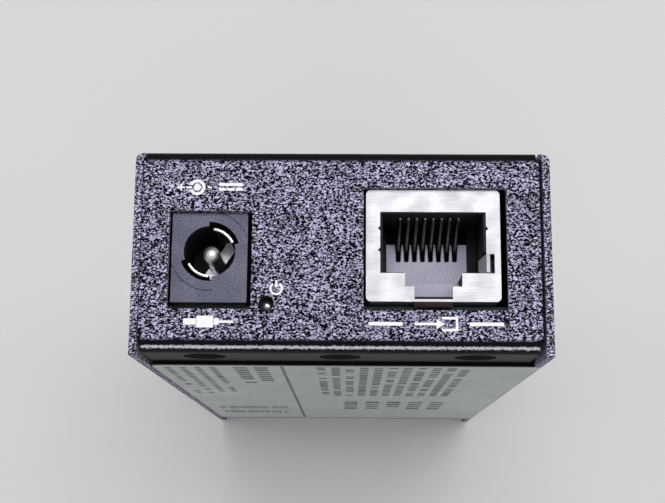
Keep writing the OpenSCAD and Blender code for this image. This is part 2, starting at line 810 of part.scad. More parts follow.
module network_contact_block() {
    color([0.16, 0.16, 0.18]) difference() {
        union() {
            block([contact_x - block_w / 2, shelf_y, block_back_z],
                [contact_x + block_w / 2, comb_top_y, comb_z]);
            block([contact_x - block_w / 2, comb_top_y - play, block_back_z],
                [contact_x + block_w / 2, plug_top_y, comb_z - 1.6 * comb_l]);
        }
        for (i = [0 : net_contacts - 1])
            translate([net_first_x + i * net_pitch, 0, comb_z - comb_l]) linear_extrude(comb_l + overrun)
                polygon([[-slot_w / 2, slot_floor_y], [slot_w / 2, slot_floor_y],
                    [0.43 * net_pitch, comb_top_y + overrun], [-0.43 * net_pitch, comb_top_y + overrun]]);
    }
}

// Free part of a contact, from its bend under the roof down into the comb
module network_contact_springs() {
    color(gold_colour) for (i = [0 : net_contacts - 1])
        translate([net_first_x + i * net_pitch, bend_y, bend_z]) rotate([-spring_slope, 0, 0])
            block([-wire_w / 2, -wire_t / 2, -spring_l], [wire_w / 2, wire_t / 2, 0]);
}

// Fixed part of a contact: its bend, its run under the roof and its solder tail
module network_terminals() {
    front_z = bend_z + 2 * wire_t;
    color(gold_colour) for (i = [0 : net_contacts - 1])
        translate([net_first_x + i * net_pitch, 0, 0])
            along_x(-wire_w / 2, wire_w / 2)
                polygon([[bend_y - wire_t / 2, front_z - wire_t], [bend_y - wire_t / 2, front_z],
                    [roof_wire_y + wire_t / 2, front_z], [roof_wire_y + wire_t, front_z - wire_t / 2],
                    [roof_wire_y + wire_t, net_tail_z(i) - wire_t],
                    [board_low_y - tail_l, net_tail_z(i) - wire_t],
                    [board_low_y - tail_l, net_tail_z(i)], [roof_wire_y, net_tail_z(i)],
                    [roof_wire_y, front_z - wire_t]]);
}

// Power socket

// A slice of a ring around the barrel's axis, centred on a direction
module ring_slice(turn, span, inner_r, outer_r, from_z, to_z) {
    translate([power_x, power_axis_y, from_z]) rotate([0, 0, turn - span / 2])
        rotate_extrude(angle = span) translate([inner_r, 0]) square([outer_r - inner_r, to_z - from_z]);
}

module power_housing() {
    half_w = power_w / 2;
    face_l = 0.26 * power_l;
    body_r = 0.94 * half_w;
    mark_r = half_w + sleeve_t;
    tab_room = power_tab_w + 2 * play;
    color(plastic_colour) difference() {
        union() {
            block([power_x - half_w, power_y + power_face_lift, power_z - face_l],
                [power_x + half_w, power_y + power_h, power_z]);
            block([power_x - body_r, power_y, power_back_z],
                [power_x + body_r, power_axis_y, power_z - face_l / 2]);
            translate([power_x, power_axis_y, power_back_z]) cylinder(r = body_r, h = power_l - face_l / 2);
        }
        translate([power_x, power_axis_y, barrel_floor_z])
            cylinder(r = barrel_r, h = barrel_l + overrun);
        translate([power_x, power_axis_y, power_back_z - overrun])
            cylinder(r = shank_r + play, h = power_l);
        for (turn = [upper_spring_turn, lower_spring_turn]) {
            ring_slice(turn, pocket_span, sleeve_r, pocket_r, pocket_floor_z, power_z + overrun);
            ring_slice(turn, pocket_span, mark_r - sleeve_t / 2, mark_r, power_z - sleeve_t / 2,
                power_z + overrun);
        }
        for (place = power_tab_places)
            translate([place[0], power_y, place[1]])
                block([-tab_room / 2, -overrun, -tab_room / 2],
                    [tab_room / 2, 2 * power_tab_w + play, tab_room / 2]);
    }
}

// Centre pin: a shank through the socket's back, a straight pin and a low domed tip
module power_pin() {
    pin_r = pin_d / 2;
    dome_r = 1.25 * pin_r;
    dome_h = dome_r - sqrt(dome_r * dome_r - pin_r * pin_r);
    root_z = barrel_floor_z + sleeve_t + play;
    shoulder_z = power_z - pin_tip_depth - dome_h;
    color([0.83, 0.83, 0.85]) translate([power_x, power_axis_y, 0]) {
        translate([0, 0, power_back_z]) cylinder(r = shank_r, h = root_z - power_back_z);
        translate([0, 0, root_z]) cylinder(r = pin_r, h = shoulder_z - root_z);
        intersection() {
            translate([0, 0, shoulder_z + dome_h - dome_r]) sphere(r = dome_r);
            translate([0, 0, shoulder_z]) cylinder(r = pin_r, h = dome_r);
        }
    }
}

module sleeve_spring(turn) {
    ring_slice(turn, sleeve_span, sleeve_r, sleeve_outer_r, sleeve_back_z, sleeve_front_z);
}

module power_spring_upper() {
    color(plated_colour) sleeve_spring(upper_spring_turn);
}

module power_spring_lower() {
    color(plated_colour) sleeve_spring(lower_spring_turn);
}

// Solder tabs, and the yoke on the barrel's floor that carries the two sleeve springs
module power_terminals() {
    yoke_w = 0.22 * barrel_d;
    color(plated_colour) {
        for (place = power_tab_places)
            block([place[0] - power_tab_w / 2, board_low_y - tail_l, place[1] - power_tab_w / 2],
                [place[0] + power_tab_w / 2, power_y + 2 * power_tab_w, place[1] + power_tab_w / 2]);
        translate([power_x, power_axis_y, barrel_floor_z]) difference() {
            rotate([0, 0, (upper_spring_turn + lower_spring_turn - 180) / 2])
                block([-sleeve_r, -yoke_w / 2, 0], [sleeve_r, yoke_w / 2, sleeve_t]);
            translate([0, 0, -overrun]) cylinder(r = shank_r + play, h = sleeve_t + 2 * overrun);
        }
    }
}

// Power light

module light_pipe() {
    foot_z = board_in_z + play;
    color([0.86, 0.88, 0.87]) {
        translate([light_x, light_y, foot_z]) cylinder(r = light_pipe_d / 2, h = light_z - foot_z);
        block([light_x - lamp_w / 2, board_y, board_in_z - lamp_w],
            [light_x + lamp_w / 2, board_y + lamp_h, foot_z + 2 * play]);
    }
}

module power_light() {
    back_z = board_in_z - lamp_w - play;
    color([0.95, 0.93, 0.75])
        block([light_x - lamp_w / 2, board_y, back_z - 0.6 * lamp_w],
            [light_x + lamp_w / 2, board_y + 0.75 * lamp_h, back_z]);
}

// Video socket

// Outline of the shell, grown by a gap on every side
module video_outline(gap) {
    half_w = video_w / 2 + gap;
    low_y = video_y - gap;
    high_y = video_y + video_h + gap;
    shoulder_y = video_y + 0.42 * video_h;
    corner = 2 * video_t;
    polygon([[-half_w + video_slant, low_y], [half_w - video_slant, low_y],
        [half_w, shoulder_y], [half_w, high_y - corner], [half_w - corner, high_y],
        [-half_w + corner, high_y], [-half_w, high_y - corner], [-half_w, shoulder_y]]);
}

module video_shell() {
    color([0.82, 0.82, 0.84]) {
        difference() {
            translate([0, 0, video_z]) linear_extrude(video_l) video_outline(0);
            translate([0, 0, video_z - overrun]) linear_extrude(video_l + 2 * overrun)
                video_outline(-video_t);
            for (side = [-1, 1])
                translate([side * video_w / 4, video_y + video_h, video_z + 0.4 * video_l])
                    block([-4 * video_t, -video_t - play, -0.22 * video_l],
                        [4 * video_t, overrun, 0.22 * video_l]);
        }
        for (side = [-1, 1])
            translate([side * (video_w - video_t) / 2, 0, 0])
                block([-video_t / 2, board_low_y - tail_l, video_tab_z - video_tab_l / 2],
                    [video_t / 2, video_y + 0.5 * video_h, video_tab_z + video_tab_l / 2]);
    }
}

module video_tongue() {
    color(plastic_colour) {
        block([-tongue_w / 2, tongue_mid_y - tongue_t / 2, tongue_tip_z],
            [tongue_w / 2, tongue_mid_y + tongue_t / 2, tongue_root_z + play]);
        translate([0, 0, tongue_root_z]) linear_extrude(video_back_z - tongue_root_z)
            video_outline(-video_t - play);
    }
}

module video_contact_row(count, y) {
    for (i = [0 : count - 1])
        translate([(i - (count - 1) / 2) * video_pitch, y, 0])
            block([-contact_w / 2, 0, tongue_tip_z + contact_w],
                [contact_w / 2, contact_t, tongue_root_z - play]);
}

module video_contacts() {
    color(gold_colour) {
        video_contact_row(video_upper_contacts, tongue_mid_y + tongue_t / 2);
        video_contact_row(video_lower_contacts, tongue_mid_y - tongue_t / 2 - contact_t);
    }
}

// Parts on the board

// A part of a given width, height and length, standing on the board
module on_board(place, w, h, l, rise = 0) {
    translate([place[0], board_y + rise, place[1]]) block([-w / 2, 0, -l / 2], [w / 2, h, l / 2]);
}

module receiver_chip() {
    color(chip_colour) on_board(board_place(chip_shares), chip_w, chip_h, chip_w);
}

module thermal_pad() {
    color([0.5, 0.62, 0.7]) on_board(board_place(chip_shares), chip_w, pad_t, chip_w, chip_h);
}

module heat_sink() {
    place = board_place(chip_shares);
    rise = chip_h + pad_t;
    fin_pitch = (sink_w - fin_t) / (sink_fins - 1);
    color([0.62, 0.64, 0.67]) {
        on_board(place, sink_w, sink_base_t, sink_w, rise);
        for (i = [0 : sink_fins - 1])
            on_board(place + [(i - (sink_fins - 1) / 2) * fin_pitch, 0], fin_t, sink_h, sink_w, rise);
    }
}

module line_transformer() {
    lift = 0.05 * transformer_h;
    color([0.11, 0.11, 0.12])
        on_board(board_place(transformer_shares), transformer_w, transformer_h - lift, transformer_l, lift);
}

// Bent leads in two rows beside a part's long sides
module lead_rows(place, w, l, count, rise, lead_w) {
    pitch = l / (count + 0.5);
    for (side = [-1, 1])
        for (i = [0 : count - 1])
            translate([place[0] + side * w / 2, board_y, place[1] + (i - (count - 1) / 2) * pitch])
                mirror([(1 - side) / 2, 0, 0])
                    translate([0, 0, -lead_w / 2]) linear_extrude(lead_w)
                        polygon([[0, rise], [0, rise + lead_w / 2], [1.5 * lead_w, rise + lead_w / 2],
                            [2 * lead_w, lead_w / 2], [4 * lead_w, lead_w / 2], [4 * lead_w, 0],
                            [1.6 * lead_w, 0], [1.2 * lead_w, rise]]);
}

module transformer_lead_set() {
    color(plated_colour)
        lead_rows(board_place(transformer_shares), transformer_w, transformer_l, transformer_leads,
            0.2 * transformer_h, 0.045 * transformer_l);
}

module power_inductor() {
    place = board_place(inductor_shares);
    color([0.2, 0.2, 0.21]) difference() {
        on_board(place, inductor_w, inductor_h, inductor_w);
        for (turn = [45 : 90 : 315])
            translate([place[0], board_y, place[1]]) rotate([0, turn, 0])
                block([0.62 * inductor_w, -overrun, -inductor_w / 2],
                    [inductor_w, inductor_h + overrun, inductor_w / 2]);
    }
}

module capacitor_cans() {
    color(can_colour) for (shares = can_shares) {
        place = board_place(shares);
        upright(place[0], board_y + can_base_h, place[1], can_d / 2, can_h);
    }
}

module capacitor_bases() {
    color(chip_colour) for (shares = can_shares)
        on_board(board_place(shares), 1.05 * can_d, can_base_h, 1.05 * can_d);
}

module crystal() {
    place = board_place(crystal_shares);
    end_r = crystal_w / 2;
    color(plated_colour) {
        on_board(place, crystal_w, crystal_h, crystal_l - 2 * end_r);
        for (side = [-1, 1])
            upright(place[0], board_y, place[1] + side * (crystal_l / 2 - end_r), end_r, crystal_h);
    }
}

module regulator() {
    color(chip_colour)
        on_board(board_place(regulator_shares), regulator_w, regulator_h, regulator_l);
}

module memory_chip() {
    color(chip_colour) on_board(board_place(memory_shares), memory_w, memory_h, memory_l);
}

module chip_leads() {
    regulator_place = board_place(regulator_shares);
    color(plated_colour) {
        lead_rows(board_place(memory_shares), memory_w, memory_l, 4, 0.5 * memory_h, 0.08 * memory_l);
        for (i = [-1, 0, 1])
            on_board(regulator_place + [i * regulator_w / 3, regulator_l / 2 + regulator_h / 2],
                regulator_w / 9, regulator_h / 8, regulator_h);
        on_board(regulator_place - [0, regulator_l / 2 + regulator_h / 2], regulator_w / 2,
            regulator_h / 8, regulator_h);
    }
}

module fuse() {
    color([0.2, 0.42, 0.3]) on_board(board_place(fuse_shares), fuse_l, fuse_h, fuse_w);
}

module ceramic_capacitors() {
    color([0.62, 0.5, 0.38]) for (shares = ceramic_shares)
        on_board(board_place(shares), ceramic_w, ceramic_h, ceramic_l);
}

module surge_arrays() {
    color(chip_colour) for (shares = surge_shares)
        on_board(board_place(shares), 2 * ceramic_w, ceramic_h, 1.5 * ceramic_l);
}

cover();
input_panel();
output_panel();
bottom_plate();
label();
insulating_sheet();
flange_screws();
standoffs();
board_screws();
main_board();
network_shield();
network_housing();
network_contact_block();
network_contact_springs();
network_terminals();
power_housing();
power_pin();
power_spring_upper();
power_spring_lower();
power_terminals();
light_pipe();
power_light();
video_shell();
video_tongue();
video_contacts();
receiver_chip();
thermal_pad();
heat_sink();
line_transformer();
transformer_lead_set();
power_inductor();
capacitor_cans();
capacitor_bases();
crystal();
regulator();
memory_chip();
chip_leads();
fuse();
ceramic_capacitors();
surge_arrays();
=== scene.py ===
# %% [markdown]
# # A small receiver box, dressed for a close-up
# The object is the receiver of a video extender: a folded sheet-metal case that stands on one end,
# with a power socket, a network socket and a power light in the panel that faces the camera.
# Its shapes are already built and placed, so this lesson is about what a construction model lacks:
# soft edges, wrinkled powder coat, bright tinned metal, bent contact wires, ink and a printed label.
# The first cell loads that model, prints how many pieces it has and holds a helper that shows a
# piece.

# %% Load the construction model
import json
import math

import bmesh
import bpy
from mathutils import Matrix, Vector


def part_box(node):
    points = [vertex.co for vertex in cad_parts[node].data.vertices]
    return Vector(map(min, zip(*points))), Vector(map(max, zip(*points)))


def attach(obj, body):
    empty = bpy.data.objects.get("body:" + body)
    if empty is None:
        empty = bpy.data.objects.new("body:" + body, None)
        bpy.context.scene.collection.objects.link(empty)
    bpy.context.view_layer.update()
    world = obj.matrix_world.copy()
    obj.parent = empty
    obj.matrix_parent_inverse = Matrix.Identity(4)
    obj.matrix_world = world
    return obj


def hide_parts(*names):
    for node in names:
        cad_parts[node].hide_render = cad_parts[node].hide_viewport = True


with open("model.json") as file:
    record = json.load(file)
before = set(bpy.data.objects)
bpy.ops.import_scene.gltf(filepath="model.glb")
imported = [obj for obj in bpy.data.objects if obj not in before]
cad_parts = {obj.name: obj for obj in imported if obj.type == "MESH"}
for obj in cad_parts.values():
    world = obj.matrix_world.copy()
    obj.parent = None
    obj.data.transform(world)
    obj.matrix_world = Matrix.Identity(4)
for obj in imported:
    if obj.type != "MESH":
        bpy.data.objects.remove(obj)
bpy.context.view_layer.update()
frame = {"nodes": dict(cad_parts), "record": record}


def placed(name, data):
    """A new object in the scene that shows a mesh, a lamp or a camera."""
    piece = bpy.data.objects.new(name, data)
    bpy.context.scene.collection.objects.link(piece)
    return piece


cad_nodes = frame["nodes"]
print(len(cad_nodes), "construction pieces")

# %% [markdown]
# ## The camera
# The photograph looks down on the panel from the label side, close enough for a strong perspective.
# A camera could be nudged by eye, but this one was worked out from the panel's corners and edges:
# a focal length in pixels, a place, and three small turns. Blender wants a focal length in
# millimetres on a 36 mm sensor, so the pixels are converted with the photograph's width.

# %% Set the camera
MM = 0.001
PHOTO_WIDTH = 665
FOCAL_PIXELS = 1220.1
PANEL_Z = 108.9 * MM

lens = bpy.data.cameras.new("close_up")
lens.sensor_width = 36
lens.lens = FOCAL_PIXELS * lens.sensor_width / PHOTO_WIDTH
lens.clip_start = 0.01
tilt = Matrix.Rotation(math.radians(11.858), 3, "X")
swing = Matrix.Rotation(math.radians(0.774), 3, "Y")
roll = Matrix.Rotation(math.radians(0.261), 3, "Z")
camera = placed("close_up", lens)
camera.matrix_world = (Matrix.Translation((0.859 * MM, -29.758 * MM, PANEL_Z + 142.237 * MM))
                       @ (tilt @ swing @ roll).to_4x4())
bpy.context.scene.camera = camera
bpy.context.scene.view_settings.view_transform = "Standard"
print("focal length:", round(lens.lens, 2), "mm")

# %% [markdown]
# ## Table, light and air
# The box stands on a plain pale table. The main lamp hangs above the camera, a little to the far
# side, just where the flat metal of the network socket mirrors it. It is not very large, so the
# panel's bends turn away from it and go dark, as they do in the photograph. A low strip in front
# lights the label. Two weak lamps fill the sides, and the world is pale all round, which gives metal
# something to reflect.

# %% Build the table, the lamps and the world
TABLE_COLOUR = (0.74, 0.74, 0.73, 1)


def plain_material(name, colour, roughness):
    """A material with one colour, for things that are not part of the object."""
    material = bpy.data.materials.new(name)
    material.use_nodes = True
    shader = material.node_tree.nodes["Principled BSDF"]
    shader.inputs["Base Color"].default_value = colour
    shader.inputs["Roughness"].default_value = roughness
    return material


def soft_lamp(name, place, target, width, height, power):
    """A rectangular lamp that points from its place to a target."""
    data = bpy.data.lights.new(name, "AREA")
    data.shape = "RECTANGLE"
    data.size = width
    data.size_y = height
    data.energy = power
    lamp = placed(name, data)
    lamp.location = place
    lamp.rotation_euler = (Vector(target) - Vector(place)).to_track_quat("-Z", "Y").to_euler()


table_mesh = bpy.data.meshes.new("table")
table_mesh.from_pydata([(-3, -3, 0), (3, -3, 0), (3, 3, 0), (-3, 3, 0)], [], [(0, 1, 2, 3)])
table_mesh.materials.append(plain_material("table_top", TABLE_COLOUR, 0.6))
placed("table", table_mesh)

middle = (0, 0, 0.08)
soft_lamp("overhead_lamp", (0.045, 0.15, 0.62), (0, 0, PANEL_Z), 0.36, 0.24, 1.3)
soft_lamp("front_strip", (0, -1.1, 0.3), middle, 1.3, 0.12, 1.3)
soft_lamp("left_lamp", (-0.8, 0.1, 0.4), middle, 0.4, 0.4, 1.0)
soft_lamp("right_lamp", (0.8, 0.1, 0.35), middle, 0.4, 0.4, 0.8)

world = bpy.data.worlds.new("studio_air")
bpy.context.scene.world = world
world.use_nodes = True
air = world.node_tree.nodes["Background"]
air.inputs["Color"].default_value = (0.93, 0.94, 0.95, 1)
air.inputs["Strength"].default_value = 0.55
print("lamps:", [light.name for light in bpy.data.lights])

# %% [markdown]
# ## Helpers for finishes
# Several finishes share one effect, so each effect is a node group that is built once and placed in
# every material with its own values. Every group here puts out the same three things: a colour, a
# roughness and a height for a bump. That way one helper can wire any of them into a Principled
# shader. The patterns read Object coordinates, which are metres here, so a grain has a real size.
# Adding a node and wiring it always goes the same way, so one function does it for every tree.

# %% Helpers that build groups and finishes
GROUP_KINDS = {"Color": "NodeSocketColor", "Value": "NodeSocketFloat", "Vector": "NodeSocketVector"}


def grow(tree, kind, settings=None, in_order=(), outlet=0, **inputs):
    """Adds a node, fills its inputs in order or by name, and gives one of its outputs."""
    node = tree.nodes.new(kind)
    for label, value in (settings or {}).items():
        setattr(node, label, value)
    named = [(node.inputs[label.replace("_", " ")], value) for label, value in inputs.items()]
    for socket, value in [*zip(node.inputs, in_order), *named]:
        if isinstance(value, bpy.types.NodeSocket):
            tree.links.new(value, socket)
        else:
            socket.default_value = value
    return node.outputs[outlet]


class GroupMaker:
    """Builds one shader group: sockets first, then nodes that are wired by name."""

    def __init__(self, name, inputs):
        self.tree = bpy.data.node_groups.new(name, "ShaderNodeTree")
        sockets = self.tree.interface
        sockets.new_socket(name="Vector", in_out="INPUT", socket_type=GROUP_KINDS["Vector"])
        for label, kind, value in inputs:
            socket = sockets.new_socket(name=label, in_out="INPUT", socket_type=GROUP_KINDS[kind])
            socket.default_value = value
        for label, kind in (("Color", "Color"), ("Roughness", "Value"), ("Height", "Value")):
            sockets.new_socket(name=label, in_out="OUTPUT", socket_type=GROUP_KINDS[kind])
        self.entry = self.tree.nodes.new("NodeGroupInput").outputs
        self.exit = self.tree.nodes.new("NodeGroupOutput").inputs

    def math(self, operation, first, second=0.0):
        return grow(self.tree, "ShaderNodeMath", {"operation": operation}, (first, second))

    def stretched(self, grain, stretch=(1, 1, 1)):
        """The input vector in units of the grain, squeezed along chosen axes."""
        scaled = grow(self.tree, "ShaderNodeVectorMath", {"operation": "SCALE"},
                      (self.entry["Vector"],), Scale=self.math("DIVIDE", 1.0, grain))
        return grow(self.tree, "ShaderNodeVectorMath", {"operation": "MULTIPLY"}, (scaled, stretch))

    def noise(self, vector, scale=1.0, detail=2.0, distortion=0.0):
        return grow(self.tree, "ShaderNodeTexNoise", outlet="Fac", Vector=vector, Scale=scale,
                    Detail=detail, Roughness=0.5, Distortion=distortion)

    def spread(self, value, low, high, to_low=0.0, to_high=1.0):
        """Maps a value from one range to another with smooth ends."""
        return grow(self.tree, "ShaderNodeMapRange", {"interpolation_type": "SMOOTHSTEP"},
                    outlet="Result", Value=value, From_Min=low, From_Max=high, To_Min=to_low,
                    To_Max=to_high)

    def mixed(self, share, first, second):
        return grow(self.tree, "ShaderNodeMix", {"data_type": "RGBA"}, outlet="Result",
                    Factor=share, A=first, B=second)

    def finish(self, colour, roughness, height):
        for label, value in (("Color", colour), ("Roughness", roughness), ("Height", height)):
            self.tree.links.new(value, self.exit[label])
        return self.tree


finishes = {}


def finish_material(name, group, values, bump=0.0, **shader_values):
    """Adds a finish whose colour, roughness and bump come from a shared group."""
    material = bpy.data.materials.new(name)
    material.use_nodes = True
    tree = material.node_tree
    shader = tree.nodes["Principled BSDF"]
    effect = tree.nodes.new("ShaderNodeGroup")
    effect.node_tree = group
    for label, value in values.items():
        effect.inputs[label].default_value = value
    tree.links.new(grow(tree, "ShaderNodeTexCoord", outlet="Object"), effect.inputs["Vector"])
    tree.links.new(effect.outputs["Color"], shader.inputs["Base Color"])
    tree.links.new(effect.outputs["Roughness"], shader.inputs["Roughness"])
    if bump:
        relief = grow(tree, "ShaderNodeBump", outlet="Normal", Strength=1.0, Distance=bump,
                      Height=effect.outputs["Height"])
        tree.links.new(relief, shader.inputs["Normal"])
    for label, value in shader_values.items():
        shader.inputs[label.replace("_", " ")].default_value = value
    finishes[name] = material


print("a finish is one group, one bump and one shader")

# %% [markdown]
# ## Wrinkled powder coat
# The case is black, but close up its coat is a mesh of tiny wrinkles a fifth of a millimetre wide.
# Their crests catch the lamp and read pale lavender, and the valleys stay nearly black. A plain
# noise bump would look like sandpaper. Here the noise is cut near its middle value with a soft edge,
# which leaves short crests that run and join like worms and cover about half of the face. The same
# cut paints the crests pale lavender, a painted highlight for the lamp's glints on them, and dulls
# the valleys.
#
# On the end panels the wrinkles and their painted highlight stop at the bends. The coat runs thin
# there, so the bends and the flange are smooth and black. Two inputs of the group say between which
# heights of Y the wrinkles may stand, so the cover and the panels can share it. A third says where a
# pale line runs along the lower bend: a painted highlight, for the lamp's reflection along the bend.

# %% The coat group and the case's finish
FADE = 0.5 * MM
WRINKLES_FROM_Y = -10.7 * MM
WRINKLES_TO_Y = 11.5 * MM
# A pale line along the lower bend of the end panels: a painted highlight for the lamp's reflection
HIGHLIGHT_LINE_Y = -11.34 * MM
HIGHLIGHT_LINE_CORE = 0.06 * MM
HIGHLIGHT_LINE_EDGE = 0.22 * MM
HIGHLIGHT_LINE_WAVER = 0.5 * MM
HIGHLIGHT_LINE_COLOUR = (0.62, 0.61, 0.66, 1)
CREST_FROM = 0.48
CREST_TO = 0.58
COAT_BUMP = 0.06 * MM

coat = GroupMaker("wrinkled_coat", [("Grain", "Value", 0.0003), ("Valley", "Color", (0, 0, 0, 1)),
                                    ("Crest", "Color", (1, 1, 1, 1)), ("Low", "Value", -1.0),
                                    ("High", "Value", 1.0), ("Rubbed", "Value", -1.0)])
coat_noise = coat.noise(coat.stretched(coat.entry["Grain"], (0.75, 1.1, 1)), detail=1.0,
                        distortion=0.8)
coat_crest = coat.spread(coat_noise, CREST_FROM, CREST_TO)
coat_patch = coat.noise(coat.stretched(coat.entry["Grain"]), scale=0.09, detail=1.0)
coat_y = grow(coat.tree, "ShaderNodeSeparateXYZ", outlet="Y", Vector=coat.entry["Vector"])
above_low = coat.spread(coat_y, coat.entry["Low"], coat.math("ADD", coat.entry["Low"], FADE))
below_high = coat.spread(coat_y, coat.math("SUBTRACT", coat.entry["High"], FADE), coat.entry["High"],
                         1.0, 0.0)
coat_band = coat.math("MULTIPLY", above_low, below_high)
# The share of the crests that gets the pale colour, a painted highlight
painted_highlight_share = coat.math("MULTIPLY", coat_crest, coat.spread(coat_patch, 0.25, 0.75, 0.75, 1.0))
banded_highlight_share = coat.math("MULTIPLY", painted_highlight_share, coat_band)
coat_dull = coat.math("MULTIPLY", coat.math("SUBTRACT", 1.0, painted_highlight_share), coat_band)
# The painted highlight line along the lower bend, broken up by the noise
coat_waver = coat.math("MULTIPLY", coat.math("SUBTRACT", coat_noise, 0.5), HIGHLIGHT_LINE_WAVER)
line_distance = coat.math("ABSOLUTE", coat.math("SUBTRACT", coat.math("ADD", coat_y, coat_waver),
                                                coat.entry["Rubbed"]))
painted_highlight_line = coat.math("MULTIPLY", coat.spread(line_distance, HIGHLIGHT_LINE_CORE, HIGHLIGHT_LINE_EDGE, 1.0, 0.0),
                      coat.spread(coat_noise, 0.3, 0.5, 0.6, 1.0))
coat_colour = coat.mixed(banded_highlight_share, coat.entry["Valley"], coat.entry["Crest"])
wrinkled_coat = coat.finish(coat.mixed(painted_highlight_line, coat_colour, HIGHLIGHT_LINE_COLOUR),
                            coat.spread(coat_dull, 0.0, 1.0, 0.5, 0.9),
                            coat.math("MULTIPLY", coat_crest, coat_band))

# The crest colour is a painted highlight for the lamp's glints; the valley colour is the coat's own
# black
COAT_TONES = {"Grain": 0.21 * MM, "Valley": (0.002, 0.002, 0.005, 1),
              "Crest": (0.66, 0.61, 0.87, 1)}
PANEL_LIMITS = {"Low": WRINKLES_FROM_Y, "High": WRINKLES_TO_Y, "Rubbed": HIGHLIGHT_LINE_Y}
finish_material("case_coat", wrinkled_coat, COAT_TONES, bump=COAT_BUMP, Specular_IOR_Level=0.25)
finish_material("panel_coat", wrinkled_coat, COAT_TONES | PANEL_LIMITS, bump=COAT_BUMP,
                Specular_IOR_Level=0.1)
print("coat group nodes:", len(wrinkled_coat.nodes))

# %% [markdown]
# ## Moulded, rolled and speckled finishes
# Three more groups cover the rest. Moulded plastic has a faint grain and slightly uneven gloss.
# Rolled sheet metal has fine streaks along one direction, from the rollers it went through.
# Speckle is for ceramic, ferrite, rubber and the board's lacquer, whose colour varies from grain to
# grain.

# %% The other groups
def two_tone_group(name):
    """A group maker with a grain, two colours and a roughness as its inputs."""
    return GroupMaker(name, [("Grain", "Value", 0.0002), ("Tone", "Color", (0, 0, 0, 1)),
                             ("Second Tone", "Color", (1, 1, 1, 1)), ("Gloss", "Value", 0.4)])


moulded = two_tone_group("moulded_plastic")
moulded_grain = moulded.noise(moulded.stretched(moulded.entry["Grain"]), detail=3.0)
moulded_cloud = moulded.noise(moulded.stretched(moulded.entry["Grain"]), scale=0.06, detail=2.0)
moulded_plastic = moulded.finish(
    moulded.mixed(moulded.spread(moulded_grain, 0.35, 0.68), moulded.entry["Tone"],
                  moulded.entry["Second Tone"]),
    moulded.math("ADD", moulded.entry["Gloss"],
                 moulded.spread(moulded_cloud, 0.3, 0.7, -0.06, 0.08)),
    moulded_grain)

rolled = two_tone_group("rolled_metal")
rolled_lines = rolled.noise(rolled.stretched(rolled.entry["Grain"], (0.05, 1, 0.05)), detail=3.0)
rolled_cloud = rolled.noise(rolled.stretched(rolled.entry["Grain"]), scale=0.05, detail=2.0)
rolled_metal = rolled.finish(
    rolled.mixed(rolled.spread(rolled_lines, 0.3, 0.7), rolled.entry["Tone"],
                 rolled.entry["Second Tone"]),
    rolled.math("ADD", rolled.entry["Gloss"], rolled.spread(rolled_cloud, 0.3, 0.7, -0.05, 0.07)),
    rolled_lines)

speckled = two_tone_group("speckled")
speckled_cells = grow(speckled.tree, "ShaderNodeTexVoronoi", outlet="Distance", Scale=1.0,
                      Vector=speckled.stretched(speckled.entry["Grain"]))
speckled_share = speckled.spread(speckled_cells, 0.15, 0.6, 1.0, 0.0)
speckle = speckled.finish(
    speckled.mixed(speckled_share, speckled.entry["Tone"], speckled.entry["Second Tone"]),
    speckled.entry["Gloss"], speckled_share)
print("groups:", [tree.name for tree in bpy.data.node_groups])

# %% [markdown]
# ## All finishes of the box
# Each row below is a finish: its grain in millimetres, two colours between which the pattern goes,
# a roughness and the height of its bump in millimetres. The network socket's shield is tinned steel
# and almost white. The plastic inside it is blacker than the power socket's. Its comb is the same
# black plastic, painted a pale lavender grey: painted light, for the lamp's light that falls into
# the socket.

# %% Make the finishes
METALS = {
    "tin_plate": (0.12, (0.64, 0.62, 0.66), (0.74, 0.72, 0.75), 0.6, 0.0015),
    "nickel_plate": (0.1, (0.72, 0.71, 0.7), (0.82, 0.81, 0.8), 0.2, 0.001),
    "pin_metal": (0.1, (0.8, 0.79, 0.8), (0.88, 0.87, 0.88), 0.42, 0.001),
    "dull_metal": (0.1, (0.32, 0.32, 0.37), (0.42, 0.42, 0.48), 0.3, 0.002),
    "earth_bronze": (0.1, (0.2, 0.13, 0.11), (0.3, 0.2, 0.17), 0.4, 0.002),
    "contact_metal": (0.08, (0.24, 0.225, 0.2), (0.33, 0.31, 0.27), 0.3, 0.001),
    "gold_plate": (0.08, (0.8, 0.58, 0.27), (0.88, 0.68, 0.36), 0.22, 0.001),
    "turned_brass": (0.1, (0.72, 0.53, 0.25), (0.82, 0.63, 0.33), 0.3, 0.002),
    "zinc_plate": (0.2, (0.6, 0.61, 0.63), (0.7, 0.71, 0.73), 0.32, 0.002),
    "bare_aluminium": (0.25, (0.66, 0.67, 0.69), (0.78, 0.79, 0.81), 0.36, 0.003),
}
